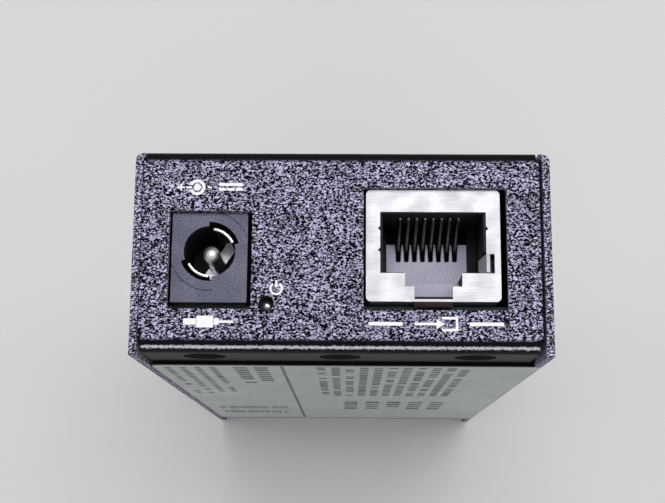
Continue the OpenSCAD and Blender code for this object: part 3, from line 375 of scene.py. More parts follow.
SMOOTH = {
    "black_steel": (0.15, (0.012, 0.012, 0.014), (0.022, 0.022, 0.026), 0.5, 0.004),
    "socket_plastic": (0.16, (0.035, 0.035, 0.065), (0.15, 0.15, 0.25), 0.45, 0.012),
    # Black plastic: the real colour of the network socket and the video tongue, and painted shade in
    # the light pipe's hole and the power socket's barrel
    "deep_plastic": (0.3, (0.006, 0.006, 0.008), (0.011, 0.011, 0.014), 0.6, 0.004),
    # Painted light: black plastic painted pale lavender grey where the lamp's light falls into the
    # socket
    "comb_plastic": (0.2, (0.4, 0.385, 0.53), (0.56, 0.54, 0.7), 0.4, 0.006),
    "chip_plastic": (0.12, (0.016, 0.016, 0.018), (0.04, 0.04, 0.045), 0.55, 0.006),
    "green_moulding": (0.12, (0.05, 0.2, 0.12), (0.08, 0.27, 0.17), 0.45, 0.004),
    "lamp_plastic": (0.3, (0.82, 0.8, 0.6), (0.9, 0.88, 0.7), 0.3, 0.002),
    # The clear rod is given a dark grey: painted shade for the dark hole it sits in
    "clear_guide": (0.5, (0.1, 0.1, 0.105), (0.14, 0.14, 0.145), 0.12, 0),
    "insulating_film": (1.2, (0.76, 0.7, 0.45), (0.83, 0.78, 0.55), 0.25, 0.01),
    "panel_ink": (0.12, (0.9, 0.9, 0.91), (0.98, 0.98, 0.98), 0.5, 0.01),
    # The label's darker, slightly green grey is painted shade and a faint painted green reflection
    # on a pale film
    "label_film": (0.8, (0.3, 0.33, 0.32), (0.37, 0.4, 0.39), 0.4, 0.004),
    "label_ink": (0.1, (0.02, 0.02, 0.025), (0.05, 0.05, 0.055), 0.4, 0.002),
}
SPECKLED = {
    "soft_rubber": (0.2, (0.2, 0.31, 0.4), (0.27, 0.39, 0.48), 0.75, 0.01),
    "ferrite": (0.14, (0.045, 0.045, 0.05), (0.09, 0.09, 0.095), 0.6, 0.012),
    "fired_ceramic": (0.09, (0.36, 0.25, 0.16), (0.46, 0.34, 0.24), 0.35, 0.004),
    # Nearly black green: partly the board's lacquer, partly painted shade for the gaps under the
    # sockets
    "board_lacquer": (0.5, (0.004, 0.018, 0.011), (0.006, 0.025, 0.015), 0.7, 0.003),
}
SHADER_VALUES = {
    "black_steel": {"IOR": 1.0},
    "deep_plastic": {"Specular_IOR_Level": 0.25},
    "clear_guide": {"Coat_Weight": 1.0, "Coat_IOR": 2.4, "Coat_Roughness": 0.08},
}
for group, table in ((rolled_metal, METALS), (moulded_plastic, SMOOTH), (speckle, SPECKLED)):
    for name, (grain, tone, second, gloss, bump) in table.items():
        values = {"Grain": grain * MM, "Tone": (*tone, 1), "Second Tone": (*second, 1),
                  "Gloss": gloss}
        extra = {"Metallic": 1.0} if table is METALS else SHADER_VALUES.get(name, {})
        finish_material(name, group, values, bump=bump * MM, **extra)
print("finishes:", len(finishes))

# %% [markdown]
# ## The circuit board's lacquer
# The board is lacquer over copper, and the copper lines show through it as a paler green. Its colour
# is nearly black: partly a dark lacquer, partly painted shade where the board shows through the gaps
# under the sockets. Real lines would be thousands of faces that nobody sees unless the case is
# opened. Here a Brick texture draws straight runs in the lacquer's colour, over the fine grain of
# the speckle group.

# %% Add the copper lines to the board's finish
board_tree = finishes["board_lacquer"].node_tree
board_place = grow(board_tree, "ShaderNodeMapping", Rotation=(math.radians(90), 0, 0),
                   Vector=grow(board_tree, "ShaderNodeTexCoord", outlet="Object"))
# The bricks' nearly black colours are partly lacquer and partly painted shade; the mortar is the
# copper lines
copper_runs = grow(board_tree, "ShaderNodeTexBrick", outlet="Color", Vector=board_place, Scale=1.0,
                   Mortar_Size=0.12 * MM, Brick_Width=7 * MM, Row_Height=0.9 * MM,
                   Color1=(0.006, 0.03, 0.018, 1), Color2=(0.008, 0.037, 0.022, 1),
                   Mortar=(0.02, 0.1, 0.055, 1))
board_tree.links.new(copper_runs, board_tree.nodes["Principled BSDF"].inputs["Base Color"])
print("nodes of the board's finish:", len(board_tree.nodes))

# %% [markdown]
# ## Pieces that keep their construction shape
# Most pieces inside the case need no new shape. They keep the construction mesh and only get their
# finish, by assigning to the object's material slots.

# %% Give the plain pieces their finishes
plain_finishes = {
    "insulating_sheet": "insulating_film", "standoffs": "turned_brass",
    "board_screws": "zinc_plate", "main_board": "board_lacquer", "power_pin": "pin_metal",
    "power_terminals": "dull_metal", "power_light": "lamp_plastic", "video_contacts": "gold_plate",
    "receiver_chip": "chip_plastic", "thermal_pad": "soft_rubber", "heat_sink": "bare_aluminium",
    "line_transformer": "chip_plastic", "transformer_lead_set": "nickel_plate",
    "power_inductor": "ferrite", "capacitor_cans": "bare_aluminium",
    "capacitor_bases": "chip_plastic", "crystal": "zinc_plate", "regulator": "chip_plastic",
    "memory_chip": "chip_plastic", "chip_leads": "nickel_plate", "fuse": "green_moulding",
    "ceramic_capacitors": "fired_ceramic", "surge_arrays": "chip_plastic",
}
for node, finish in plain_finishes.items():
    cad_nodes[node].data.materials.clear()
    cad_nodes[node].data.materials.append(finishes[finish])
print("pieces that keep their shape:", len(plain_finishes))

# %% [markdown]
# ## Soft edges on the sheet metal and the sockets
# A folded or moulded edge is never razor sharp, and the bright line along it is what makes metal
# look like metal. The construction mesh is loose triangles, so a copy of it is welded and its flat
# areas are joined. Then a Bevel modifier rounds every edge sharper than a limit, and Weighted Normal
# keeps the large flats flat. Rounding an outer edge takes material away, so no piece grows past the
# box of its node.

# %% A helper that softens a node's edges
SHARP_EDGE = math.radians(38)
SAME_FLAT = math.radians(0.6)
SAME_POINT = 0.0005 * MM
body_of = {node: body for body, members in frame["record"]["behaviour"]["bodies"].items()
           for node in members}


def stand_for(piece, node):
    """The piece takes a construction node's place and moves with its body."""
    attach(piece, body_of[node])
    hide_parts(node)


def baked(source, name):
    """A plain mesh object of what the source looks like with its modifiers."""
    graph = bpy.context.evaluated_depsgraph_get()
    mesh = bpy.data.meshes.new_from_object(source.evaluated_get(graph))
    mesh.name = name
    bpy.data.objects.remove(source)
    return placed(name, mesh)


def welded_copy(node):
    """The node's mesh with its triangles joined into flats."""
    mesh = cad_nodes[node].data.copy()
    shape = bmesh.new()
    shape.from_mesh(mesh)
    bmesh.ops.remove_doubles(shape, verts=shape.verts, dist=SAME_POINT)
    bmesh.ops.dissolve_limit(shape, angle_limit=SAME_FLAT, verts=shape.verts, edges=shape.edges)
    for face in shape.faces:
        face.smooth = True
    shape.to_mesh(mesh)
    shape.free()
    return mesh


def soften(node, finish, radius):
    """Makes a copy of a node with its sharp edges rounded, which stands for that node."""
    mesh = welded_copy(node)
    mesh.materials.clear()
    mesh.materials.append(finishes[finish])
    source = placed(node + "_source", mesh)
    bevel = source.modifiers.new("soft_edges", "BEVEL")
    bevel.width = radius
    bevel.segments = 2
    bevel.limit_method = "ANGLE"
    bevel.angle_limit = SHARP_EDGE
    bevel.use_clamp_overlap = True
    weights = source.modifiers.new("flat_flats", "WEIGHTED_NORMAL")
    weights.keep_sharp = True
    stand_for(baked(source, node + "_soft"), node)


for node, finish, radius in (
        ("cover", "case_coat", 0.28), ("input_panel", "panel_coat", 0.16),
        ("output_panel", "panel_coat", 0.16), ("bottom_plate", "panel_coat", 0.16),
        ("network_shield", "tin_plate", 0.05), ("network_housing", "deep_plastic", 0.06),
        ("network_contact_block", "comb_plastic", 0.05), ("power_housing", "socket_plastic", 0.1),
        ("power_spring_upper", "nickel_plate", 0.06), ("power_spring_lower", "nickel_plate", 0.06),
        ("video_shell", "tin_plate", 0.06), ("video_tongue", "deep_plastic", 0.08)):
    soften(node, finish, radius * MM)


# Some faces of a piece have another finish than the rest: the floor of the latch's room in the
# network socket gets the pale plastic, which is painted light; the part behind its comb gets black
# plastic; the lips' outer faces get the case's coat; the hole of the light pipe and the inside of
# the power socket's barrel are painted black, which is painted shade; and the earth finger gets
# bronze
LATCH_FLOOR_FROM_Z = 101 * MM
LATCH_FLOOR_TO_Z = 104 * MM
COMB_BACK_Z = 98.8 * MM
LIP_Y = 12.3 * MM
PIPE_X = -8.89 * MM
PIPE_Y = -6.18 * MM
HOLE_REACH = 1 * MM
BARREL_X = -15.88 * MM
BARREL_Y = 0.26 * MM
BARREL_REACH = 3.9 * MM
BARREL_FLOOR_Z = 104 * MM
EARTH_Y = -5.85 * MM
EARTH_Z = 106 * MM
FACING = 0.9
UPRIGHT = 0.5


def refinish(name, finish, chosen):
    """Gives the faces of a softened piece that pass a test another finish."""
    mesh = bpy.data.objects[name].data
    mesh.materials.append(finishes[finish])
    for face in mesh.polygons:
        if chosen(face.center, face.normal):
            face.material_index = len(mesh.materials) - 1


# Painted light: the upward faces of the latch room's floor get the pale plastic
refinish("network_housing_soft", "comb_plastic",
         lambda place, normal: normal.z > FACING and LATCH_FLOOR_FROM_Z < place.z < LATCH_FLOOR_TO_Z)
refinish("network_contact_block_soft", "deep_plastic", lambda place, normal: place.z < COMB_BACK_Z)
for panel in ("input_panel_soft", "output_panel_soft"):
    refinish(panel, "case_coat", lambda place, normal: place.y > LIP_Y and normal.y > FACING)
# Painted shade: the panel's faces round the light pipe's hole are painted black
refinish("input_panel_soft", "deep_plastic",
         lambda place, normal: math.hypot(place.x - PIPE_X, place.y - PIPE_Y) < HOLE_REACH)
# Painted shade: the inside of the power socket's barrel is painted black
refinish("power_housing_soft", "deep_plastic",
         lambda place, normal: (math.hypot(place.x - BARREL_X, place.y - BARREL_Y) < BARREL_REACH
                                and (abs(normal.z) < UPRIGHT or place.z < BARREL_FLOOR_Z)))
refinish("network_shield_soft", "earth_bronze",
         lambda place, normal: place.y < EARTH_Y and place.z > EARTH_Z)

# %% [markdown]
# ## One tree for every row of equal pieces
# Screws, contact wires and the leads of a socket all stand in straight rows. A Geometry Nodes tree
# can make any such row: it takes one piece as its input and copies it along a line. Copying in
# Python would work too, but a tree keeps the count and the spacing as named values that can still
# be changed. The tree realizes its instances and sets the material, and the result is baked.

# %% Build the row tree and its helpers
TREE_KINDS = {"whole": "NodeSocketInt", "length": "NodeSocketFloat", "vector": "NodeSocketVector",
              "material": "NodeSocketMaterial"}


def new_tree(name, sockets):
    """A geometry tree with named inputs; gives the tree, its entry and its exit."""
    tree = bpy.data.node_groups.new(name, "GeometryNodeTree")
    tree.interface.new_socket(name="Geometry", in_out="INPUT", socket_type="NodeSocketGeometry")
    for label, kind in sockets:
        tree.interface.new_socket(name=label, in_out="INPUT", socket_type=TREE_KINDS[kind])
    tree.interface.new_socket(name="Geometry", in_out="OUTPUT", socket_type="NodeSocketGeometry")
    return tree, tree.nodes.new("NodeGroupInput").outputs, tree.nodes.new("NodeGroupOutput").inputs


def apply_tree(source, tree, name, **values):
    """Runs a tree on an object with the given inputs and bakes the result."""
    modifier = source.modifiers.new(name, "NODES")
    modifier.node_group = tree
    for item in tree.interface.items_tree:
        label = item.name.lower().replace(" ", "_")
        if item.in_out == "INPUT" and label in values:
            modifier[item.identifier] = values[label]
    return baked(source, name)


row_tree, row_in, row_out = new_tree("row_of_pieces", [
    ("Count", "whole"), ("Start", "vector"), ("Step", "vector"), ("Finish", "material")])
row_line = grow(row_tree, "GeometryNodeMeshLine", {"mode": "OFFSET"}, Count=row_in["Count"],
                Start_Location=row_in["Start"], Offset=row_in["Step"])
row_copies = grow(row_tree, "GeometryNodeInstanceOnPoints", Points=row_line,
                  Instance=row_in["Geometry"])
row_real = grow(row_tree, "GeometryNodeRealizeInstances", Geometry=row_copies)
row_tree.links.new(grow(row_tree, "GeometryNodeSetMaterial", Geometry=row_real,
                        Material=row_in["Finish"]), row_out["Geometry"])
print("row tree inputs:", [item.name for item in row_tree.interface.items_tree])

# %% [markdown]
# ## Flange screws
# Three countersunk screws hold each end panel's flange to the plate. Each is a turned cone with a
# slim shank and a cross-shaped recess. The head is made by spinning a profile, and the recess by a
# Boolean modifier with a tapered cross, because a spun profile alone can't hold a cross.

# %% Turn a screw and set six of them in rows
SCREW_HEAD_R = 2.5 * MM
SCREW_SHANK_R = 1.42 * MM
SCREW_L = 2.95 * MM
SHANK_CHAMFER = 0.15 * MM
CONE_DEPTH = 0.95 * MM
HEAD_EDGE = 0.06 * MM
RIM_DEPTH = 0.1 * MM
SCREW_EDGE_R = 0.04 * MM
CROSS_ARM = 1.25 * MM
CROSS_BLADE = 0.28 * MM
CROSS_DEPTH = 0.75 * MM
CROSS_RISE = 0.3 * MM
CROSS_FOOT_SHARES = (0.3, 0.8)
DRIVER_TURN = 12
PANEL_X = -0.15 * MM
SCREW_PITCH = 16.35 * MM
FLANGE_Y = -11.95 * MM
SCREW_IN_Z = 104.3 * MM
SCREW_OUT_Z = 4.7 * MM


def mesh_of(shape, name):
    """Turns an edited shape into a mesh and lets the shape go."""
    mesh = bpy.data.meshes.new(name)
    shape.to_mesh(mesh)
    shape.free()
    return mesh


def turned(name, profile, steps=48):
    """A closed solid from a profile of (radius, height) pairs, turned about Z."""
    shape = bmesh.new()
    rings = []
    for radius, height in profile:
        if radius == 0:
            rings.append([shape.verts.new((0, 0, height))])
            continue
        rings.append([shape.verts.new((radius * math.cos(2 * math.pi * i / steps),
                                       radius * math.sin(2 * math.pi * i / steps), height))
                      for i in range(steps)])
    for low, high in zip(rings, rings[1:]):
        for i in range(steps):
            j = (i + 1) % steps
            corners = [low[i % len(low)], low[j % len(low)],
                       high[j % len(high)], high[i % len(high)]]
            shape.faces.new(list(dict.fromkeys(corners)))
    bmesh.ops.recalc_face_normals(shape, faces=shape.faces)
    for face in shape.faces:
        face.smooth = True
    return mesh_of(shape, name)


def tapered_cross(arm, blade, depth, rise):
    """Two crossed wedges that cut a driver's recess, point down."""
    shape = bmesh.new()
    for turn in (0, 90):
        top = [(-arm, -blade, rise), (arm, -blade, rise), (arm, blade, rise), (-arm, blade, rise)]
        foot = [(x * CROSS_FOOT_SHARES[0], y * CROSS_FOOT_SHARES[1], -depth) for x, y, _ in top]
        spin = Matrix.Rotation(math.radians(turn + DRIVER_TURN), 4, "Z")
        corners = [shape.verts.new(spin @ Vector(point)) for point in foot + top]
        for face in ((3, 2, 1, 0), (4, 5, 6, 7), (0, 1, 5, 4), (1, 2, 6, 5), (2, 3, 7, 6),
                     (3, 0, 4, 7)):
            shape.faces.new([corners[i] for i in face])
    return mesh_of(shape, "driver_cross")


screw_mesh = turned("flat_screw", [
    (0, -SCREW_L), (SCREW_SHANK_R - SHANK_CHAMFER, -SCREW_L),
    (SCREW_SHANK_R, SHANK_CHAMFER - SCREW_L), (SCREW_SHANK_R, -CONE_DEPTH),
    (SCREW_HEAD_R - HEAD_EDGE, -RIM_DEPTH), (SCREW_HEAD_R, -0.4 * RIM_DEPTH),
    (SCREW_HEAD_R - HEAD_EDGE, 0), (0, 0)])
screw_source = placed("flat_screw", screw_mesh)
cross = placed("driver_cross", tapered_cross(CROSS_ARM, CROSS_BLADE, CROSS_DEPTH, CROSS_RISE))
cut = screw_source.modifiers.new("recess", "BOOLEAN")
cut.operation = "DIFFERENCE"
cut.object = cross
cut.use_self = True
edge = screw_source.modifiers.new("soft_edges", "BEVEL")
edge.width = SCREW_EDGE_R
edge.segments = 2
edge.angle_limit = math.radians(35)
screw = baked(screw_source, "one_screw")
bpy.data.objects.remove(cross)
screw.data.transform(Matrix.Rotation(math.radians(90), 4, "X"))
screw_twin = placed("one_screw_twin", screw.data.copy())

for source, end, z in ((screw, "input", SCREW_IN_Z), (screw_twin, "output", SCREW_OUT_Z)):
    screws = apply_tree(source, row_tree, "flange_screws_" + end, count=3,
                        start=(PANEL_X - SCREW_PITCH, FLANGE_Y, z), step=(SCREW_PITCH, 0, 0),
                        finish=finishes["black_steel"])
    stand_for(screws, "flange_screws")
print("faces of three screws:", len(screws.data.polygons))

# %% [markdown]
# ## Contact wires of the network socket
# Eight flat wires come from the back under the roof, turn back at the front and slope down into the
# comb. On the real socket each is one bent wire. The construction splits it where it flexes, so the
# sloping part can move, and these pieces follow that split. A path with rounded corners is swept
# with a rounded rectangle, using Curve to Mesh in a second tree, and the row tree copies it. The
# fixed parts end in two rows of solder tails, so every second wire belongs to the same row.

# %% Sweep one wire and copy it along the row
WIRE_W = 0.35 * MM
WIRE_T = 0.3 * MM
WIRE_PITCH = 1.02 * MM
FIRST_WIRE_X = 7.13 * MM
BEND_Y = 4.9 * MM
BEND_Z = 105.0 * MM
ROOF_Y = 5.5 * MM
SPRING_SLOPE = math.radians(23.5)
SPRING_L = 8.3 * MM
SPRING_BEND_R = 4 * MM
WIRE_EDGE_R = 0.06 * MM
TAIL_Y = -8.6 * MM
BACK_Z = 90.7 * MM
TAIL_ROW_STEP = 1.275 * MM
FRONT_Z = 105.45 * MM
FRONT_BEND_R = 0.14 * MM
FRONT_DROP = 0.02 * MM
SPRING_GAP = 0.05 * MM

sweep_tree, sweep_in, sweep_out = new_tree("swept_wire", [
    ("Width", "length"), ("Thickness", "length"), ("Edge Radius", "length")])
sweep_shape = grow(sweep_tree, "GeometryNodeCurvePrimitiveQuadrilateral", Width=sweep_in["Width"],
                   Height=sweep_in["Thickness"])
sweep_round = grow(sweep_tree, "GeometryNodeFilletCurve", {"mode": "POLY"}, Curve=sweep_shape,
                   Count=2, Radius=sweep_in["Edge Radius"])
sweep_path = grow(sweep_tree, "GeometryNodeMeshToCurve", Mesh=sweep_in["Geometry"])
sweep_body = grow(sweep_tree, "GeometryNodeCurveToMesh", Curve=sweep_path,
                  Profile_Curve=sweep_round, Fill_Caps=True)
sweep_tree.links.new(grow(sweep_tree, "GeometryNodeSetShadeSmooth", Geometry=sweep_body,
                          Shade_Smooth=False), sweep_out["Geometry"])


def rounded_path(points, radius, steps=6):
    """The points of a path in Y and Z whose inner corners are turned into arcs."""
    path = [Vector(points[0])]
    for before, corner, after in zip(points, points[1:], points[2:]):
        into = (Vector(before) - Vector(corner)).normalized()
        out = (Vector(after) - Vector(corner)).normalized()
        half = into.angle(out) / 2
        reach = radius / math.tan(half)
        centre = Vector(corner) + (into + out).normalized() * radius / math.sin(half)
        first = Vector(corner) + into * reach - centre
        last = Vector(corner) + out * reach - centre
        for step in range(steps + 1):
            share = step / steps
            arm = first * (1 - share) + last * share
            path.append(centre + arm.normalized() * radius)
    path.append(Vector(points[-1]))
    return path


def wire(name, points, radius):
    """One wire swept along a path in the plane of Y and Z."""
    path = rounded_path(points, radius)
    mesh = bpy.data.meshes.new(name)
    mesh.from_pydata([(0, p[0], p[1]) for p in path], [(i, i + 1) for i in range(len(path) - 1)], [])
    return apply_tree(placed(name, mesh), sweep_tree, name + "_swept", width=WIRE_T,
                      thickness=WIRE_W, edge_radius=WIRE_EDGE_R)


slope = Vector((-math.sin(SPRING_SLOPE), -math.cos(SPRING_SLOPE)))
bend = Vector((BEND_Y, BEND_Z))
spring_wire = wire("contact_spring", [bend, bend + slope * SPRING_L * 0.5, bend + slope * SPRING_L],
                   SPRING_BEND_R)
contact_springs = apply_tree(spring_wire, row_tree, "contact_spring_row", count=8,
                             start=(FIRST_WIRE_X, 0, 0), step=(WIRE_PITCH, 0, 0),
                             finish=finishes["contact_metal"])
stand_for(contact_springs, "network_contact_springs")

for parity in (0, 1):
    tail_z = BACK_Z - parity * TAIL_ROW_STEP
    fixed_wire = wire(f"contact_tail_{parity}",
                      [(TAIL_Y, tail_z), (ROOF_Y, tail_z), (ROOF_Y, FRONT_Z),
                       (BEND_Y, FRONT_Z - FRONT_DROP), (BEND_Y - FRONT_DROP, BEND_Z + SPRING_GAP)],
                      FRONT_BEND_R)
    tail_row = apply_tree(fixed_wire, row_tree, f"contact_tail_row_{parity}", count=4,
                          start=(FIRST_WIRE_X + parity * WIRE_PITCH, 0, 0),
                          step=(2 * WIRE_PITCH, 0, 0), finish=finishes["contact_metal"])
    stand_for(tail_row, "network_terminals")
print("the first of eight wires is at x", round(FIRST_WIRE_X / MM, 2), "mm")

# %% [markdown]
# ## Light pipe
# A clear rod carries the light of a lamp on the board to a small hole in the panel. It is turned
# from a profile like the screw, with the square foot that sits on the board kept as a small block.
# Its tip is a low dome moved to the lower side, where it mirrors the main lamp: that is the white
# spot in the dark hole. A second reflecting layer on its finish makes the mirror strong enough.

# %% Turn the light pipe
pipe_low, pipe_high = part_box("light_pipe")
PIPE_R = 0.8 * MM
PIPE_FOOT_Z = 106.45 * MM
TIP_DEPTH = 0.6 * MM
TIP_SHIFT = 0.2 * MM
FOOT_Y = -6.1 * MM
FOOT_T = 1.28 * MM
FOOT_TOP_Z = 106.55 * MM
# The tip's outline, as shares of the rod's radius and depths below its top
TIP_OUTLINE = ((1, 0.7 * MM), (0.72, 0.55 * MM), (0.7, 0.2 * MM), (0.6, 0.07 * MM),
               (0.35, 0.02 * MM))

pipe_top = pipe_high[2]
pipe_mesh = turned("pipe_rod", [
    (0, PIPE_FOOT_Z), (PIPE_R, PIPE_FOOT_Z),
    *[(share * PIPE_R, pipe_top - depth) for share, depth in TIP_OUTLINE], (0, pipe_top)])
for point in pipe_mesh.vertices:
    if point.co.z > pipe_top - TIP_DEPTH:
        point.co.y -= TIP_SHIFT
pipe_mesh.transform(Matrix.Translation((PIPE_X, PIPE_Y, 0)))
foot_shape = bmesh.new()
foot_shape.from_mesh(pipe_mesh)
foot_low = Vector((pipe_low[0], FOOT_Y, pipe_low[2]))
foot_high = Vector((pipe_high[0], FOOT_Y + FOOT_T, FOOT_TOP_Z))
for corner in bmesh.ops.create_cube(foot_shape, size=1.0)["verts"]:
    corner.co = Vector([low + (value + 0.5) * (high - low)
                        for low, high, value in zip(foot_low, foot_high, corner.co)])
foot_shape.to_mesh(pipe_mesh)
foot_shape.free()
# The rod's finish is dark grey, a painted shade for the hole; its bright spot is a real reflection
pipe_mesh.materials.append(finishes["clear_guide"])
light_guide = placed("light_guide", pipe_mesh)
stand_for(light_guide, "light_pipe")
print("light pipe ends", round(1000 * (PANEL_Z - pipe_top), 2), "mm behind the panel's face")

# %% [markdown]
# ## Marks on the panel
# White ink on the panel shows the plug's polarity, direct current, where the plug, the power light
# and the network cable belong. All are plain signs that anyone may use. They are thin raised shapes
# made of bars and arcs, because ink is a layer of its own with a crisp edge. Each sign is a list of
# strokes in millimetres, and one function turns any such list into a piece.

# %% Draw the marks as thin bars and arcs
INK_LOW = PANEL_Z - 0.01 * MM
INK_HIGH = PANEL_Z + 0.03 * MM
WELD_REACH = 0.01 * MM


def add_slab(shape, low_outline, high_outline):
    """A closed slab between two outlines that match point by point."""
    low = [shape.verts.new(point) for point in low_outline]
    high = [shape.verts.new(point) for point in high_outline]
    shape.faces.new(high)
    shape.faces.new(low[::-1])
    for i in range(len(low)):
        j = (i + 1) % len(low)
        shape.faces.new((low[i], low[j], high[j], high[i]))


def add_prism(shape, *outline):
    """A thin slab of ink with the given outline, drawn in millimetres."""
    add_slab(shape, [(x * MM, y * MM, INK_LOW) for x, y in outline],
             [(x * MM, y * MM, INK_HIGH) for x, y in outline])


def add_bar(shape, x, y, width, height):
    add_prism(shape, (x - width / 2, y - height / 2), (x + width / 2, y - height / 2),
              (x + width / 2, y + height / 2), (x - width / 2, y + height / 2))


def add_arc(shape, x, y, inner, outer, start, end, steps=36):
    """A part of a ring, from one angle to another in degrees."""
    angles = [math.radians(start + (end - start) * i / steps) for i in range(steps + 1)]
    for first, last in zip(angles, angles[1:]):
        add_prism(shape, (x + inner * math.cos(first), y + inner * math.sin(first)),
                  (x + outer * math.cos(first), y + outer * math.sin(first)),
                  (x + outer * math.cos(last), y + outer * math.sin(last)),
                  (x + inner * math.cos(last), y + inner * math.sin(last)))


def add_disc(shape, x, y, radius, steps=28):
    add_prism(shape, *[(x + radius * math.cos(2 * math.pi * i / steps),
                        y + radius * math.sin(2 * math.pi * i / steps)) for i in range(steps)])


def is_inner_wall(face):
    """Whether a side wall stands between two strokes that touch."""
    uprights = [edge for edge in face.edges
                if abs(edge.verts[0].co.z - edge.verts[1].co.z) > WELD_REACH]
    return abs(face.normal.z) < UPRIGHT and all(len(edge.link_faces) > 2 for edge in uprights)


def ink_piece(name, strokes):
    """Bakes a list of strokes into a mesh, as a piece of the input panel."""
    shape = bmesh.new()
    for draw, *values in strokes:
        draw(shape, *values)
    bmesh.ops.remove_doubles(shape, verts=shape.verts, dist=0.1 * WELD_REACH)
    inner = [face for face in shape.faces if is_inner_wall(face)]
    bmesh.ops.delete(shape, geom=inner, context="FACES")
    bmesh.ops.recalc_face_normals(shape, faces=shape.faces)
    mesh = mesh_of(shape, name)
    mesh.materials.append(finishes["panel_ink"])
    piece = placed(name, mesh)
    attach(piece, "case")
    return piece


panel_signs = {
    # A plus sign, a lead, a dot in an open ring and a minus sign
    "polarity_sign": [
        (add_bar, -19.39, 7.95, 0.85, 0.2), (add_bar, -19.39, 8.2125, 0.2, 0.325),
        (add_bar, -19.39, 7.6875, 0.2, 0.325), (add_bar, -18.45, 7.95, 0.7, 0.2),
        (add_disc, -17.46, 7.95, 0.42), (add_arc, -17.46, 7.95, 0.63, 0.98, -158, 158),
        (add_bar, -15.98, 7.95, 0.48, 0.2)],
    # A full line over a broken one
    "direct_current_sign": [
        (add_bar, -13.4, 8.3, 2.9, 0.36), (add_bar, -14.4, 7.7, 0.86, 0.34),
        (add_bar, -13.4, 7.7, 0.86, 0.34), (add_bar, -12.4, 7.7, 0.86, 0.34)],
    # A round plug seen from the side: its barrel, its grip and its lead
    "plug_sign": [
        (add_bar, -17.9, -8.4, 1.5, 0.75), (add_bar, -16.1, -8.4, 2.0, 1.4),
        (add_bar, -14.75, -8.4, 0.6, 0.8), (add_bar, -13.6, -8.4, 1.7, 0.3)],
    # An open ring with a bar in its gap
    "power_sign": [
        (add_arc, -7.75, -4.4, 0.55, 0.8, 125, 415), (add_bar, -7.75, -3.85, 0.24, 0.85)],
    # An arrow that goes into a frame, between two plain rules
    "input_sign": [
        (add_bar, 5.2, -8.55, 4.0, 0.42), (add_bar, 17.1, -8.55, 4.0, 0.42),
        (add_bar, 9.9, -8.55, 2.6, 0.3), (add_prism, (11.2, -9.15), (12.2, -8.55), (11.2, -7.95)),
        (add_bar, 13.6, -8.55, 0.3, 1.7), (add_bar, 12.65, -7.85, 1.6, 0.3),
        (add_bar, 12.65, -9.25, 1.6, 0.3)],
}
marks = [ink_piece(name, strokes) for name, strokes in panel_signs.items()]
print("marks on the panel:", [piece.name for piece in marks])

# %% [markdown]
# ## Label
# A pale film label covers the bottom plate. What was printed on it is not copied. Rows of plain dark
# bars of uneven length stand in its place, run along the case as print does, with one long rule
# between the two columns. A tree scatters the bars: a grid of points, one bar on each, with random
# lengths from a fixed seed and some left out, so that the rows look like print from a distance.

# %% Lay the label and print it
label_low, label_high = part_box("label")
LABEL_Y = label_low[1]
FILM_Y = LABEL_Y + 0.03 * MM
PRINT_Y = LABEL_Y + 0.02 * MM
PRINT_T = 0.03 * MM
CORNER_R = 0.8 * MM
SHORTEST_BAR = 0.35
LONGEST_BAR = 0.7
BARS_KEPT = 0.86
RULE_X = (-7.75 * MM, -7.35 * MM)
RULE_Z = (12 * MM, 98.6 * MM)
RULE_SINK = 0.01 * MM
RULE_END_R = 0.1 * MM


def rounded_sheet(name, low_x, low_z, high_x, high_z, from_y, to_y, radius):
    """A flat sheet with rounded corners, thin along Y."""
    shape = bmesh.new()
    outline = []
    for cx, cz, start in (
            (high_x - radius, high_z - radius, 0), (low_x + radius, high_z - radius, 90),
            (low_x + radius, low_z + radius, 180), (high_x - radius, low_z + radius, 270)):
        for step in range(7):
            angle = math.radians(start + 15 * step)
            outline.append((cx + radius * math.cos(angle), cz + radius * math.sin(angle)))
    add_slab(shape, [(x, from_y, z) for x, z in outline], [(x, to_y, z) for x, z in outline])
    bmesh.ops.recalc_face_normals(shape, faces=shape.faces)
    return mesh_of(shape, name)


# The film's finish is a darker, slightly green grey: painted shade and a faint painted green
# reflection
film_mesh = rounded_sheet("label_sheet", label_low[0], label_low[2], label_high[0], label_high[2],
                          FILM_Y, label_high[1], CORNER_R)
film_mesh.materials.append(finishes["label_film"])
label_sheet = placed("label_sheet", film_mesh)
stand_for(label_sheet, "label")

words_tree, words_in, words_out = new_tree("printed_words", [
    ("Lines", "whole"), ("Words", "whole"), ("Line Pitch", "length"), ("Word Pitch", "length"),
    ("Bar Width", "length"), ("Ink Height", "length"), ("Seed", "whole"), ("Centre", "vector"),
    ("Finish", "material")])


def grid_reach(count, pitch):
    """The length of a grid's side: its pitch times one less than its count."""
    gaps = grow(words_tree, "ShaderNodeMath", {"operation": "SUBTRACT"}, (count, 1))
    return grow(words_tree, "ShaderNodeMath", {"operation": "MULTIPLY"}, (gaps, pitch))


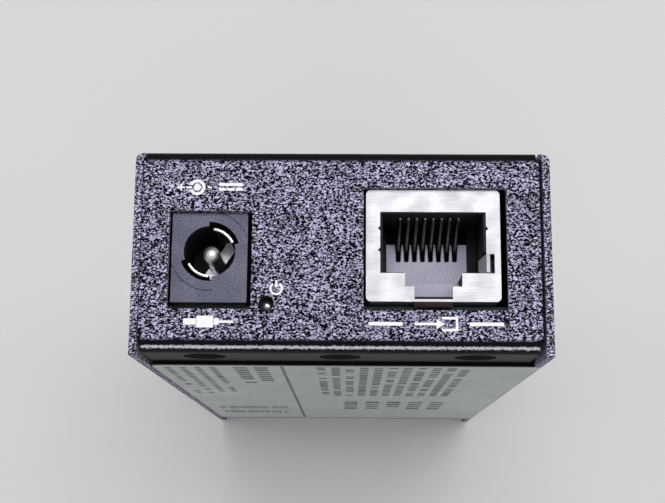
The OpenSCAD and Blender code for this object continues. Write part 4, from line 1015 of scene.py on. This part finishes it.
words_grid = grow(words_tree, "GeometryNodeMeshGrid", Vertices_X=words_in["Lines"],
                  Vertices_Y=words_in["Words"],
                  Size_X=grid_reach(words_in["Lines"], words_in["Line Pitch"]),
                  Size_Y=grid_reach(words_in["Words"], words_in["Word Pitch"]))
words_turn = grow(words_tree, "GeometryNodeTransform", Geometry=words_grid,
                  Translation=words_in["Centre"], Rotation=(math.radians(90), 0, 0))
words_size = grow(words_tree, "ShaderNodeCombineXYZ", X=words_in["Bar Width"],
                  Y=words_in["Ink Height"], Z=words_in["Word Pitch"])
words_bar = grow(words_tree, "GeometryNodeMeshCube", Size=words_size)
words_length = grow(words_tree, "FunctionNodeRandomValue", {"data_type": "FLOAT"}, outlet=1,
                    Min=SHORTEST_BAR, Max=LONGEST_BAR, Seed=words_in["Seed"])
words_keep = grow(words_tree, "FunctionNodeRandomValue", {"data_type": "BOOLEAN"}, outlet=3,
                  Probability=BARS_KEPT, Seed=words_in["Seed"])
words_scale = grow(words_tree, "ShaderNodeCombineXYZ", X=1.0, Y=1.0, Z=words_length)
words_copy = grow(words_tree, "GeometryNodeInstanceOnPoints", Points=words_turn,
                  Selection=words_keep, Instance=words_bar, Scale=words_scale)
words_real = grow(words_tree, "GeometryNodeRealizeInstances", Geometry=words_copy)
words_tree.links.new(grow(words_tree, "GeometryNodeSetMaterial", Geometry=words_real,
                          Material=words_in["Finish"]), words_out["Geometry"])

for name, lines, words, line_pitch, word_pitch, bar, centre, seed in (
        ("label_lines_right", 11, 19, 1.85, 2.1, 1.1, (6.6, 78.0), 3),
        ("label_lines_left", 4, 14, 1.9, 2.6, 0.8, (-19.3, 79.5), 8),
        ("label_heading", 2, 8, 2.6, 2.6, 1.7, (-11.6, 87.5), 5),
        ("label_block", 22, 2, 0.55, 9.5, 0.28, (-15.8, 30.0), 1),
        ("label_foot", 5, 4, 3.6, 4.2, 2.2, (8.5, 40.0), 12)):
    blank = placed(name, bpy.data.meshes.new(name))
    piece = apply_tree(blank, words_tree, name, lines=lines, words=words,
                       line_pitch=line_pitch * MM, word_pitch=word_pitch * MM, bar_width=bar * MM,
                       ink_height=PRINT_T, seed=seed, finish=finishes["label_ink"],
                       centre=(centre[0] * MM, PRINT_Y, centre[1] * MM))
    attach(piece, "case")
    print(name, "bars:", len(piece.data.polygons) // 6)

rule_mesh = rounded_sheet("label_rule", RULE_X[0], RULE_Z[0], RULE_X[1], RULE_Z[1],
                          LABEL_Y + RULE_SINK, FILM_Y + RULE_SINK, RULE_END_R)
rule_mesh.materials.append(finishes["label_ink"])
label_rule = placed("label_rule", rule_mesh)
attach(label_rule, "case")
print("label is", round((label_high[0] - label_low[0]) / MM, 1), "mm wide")
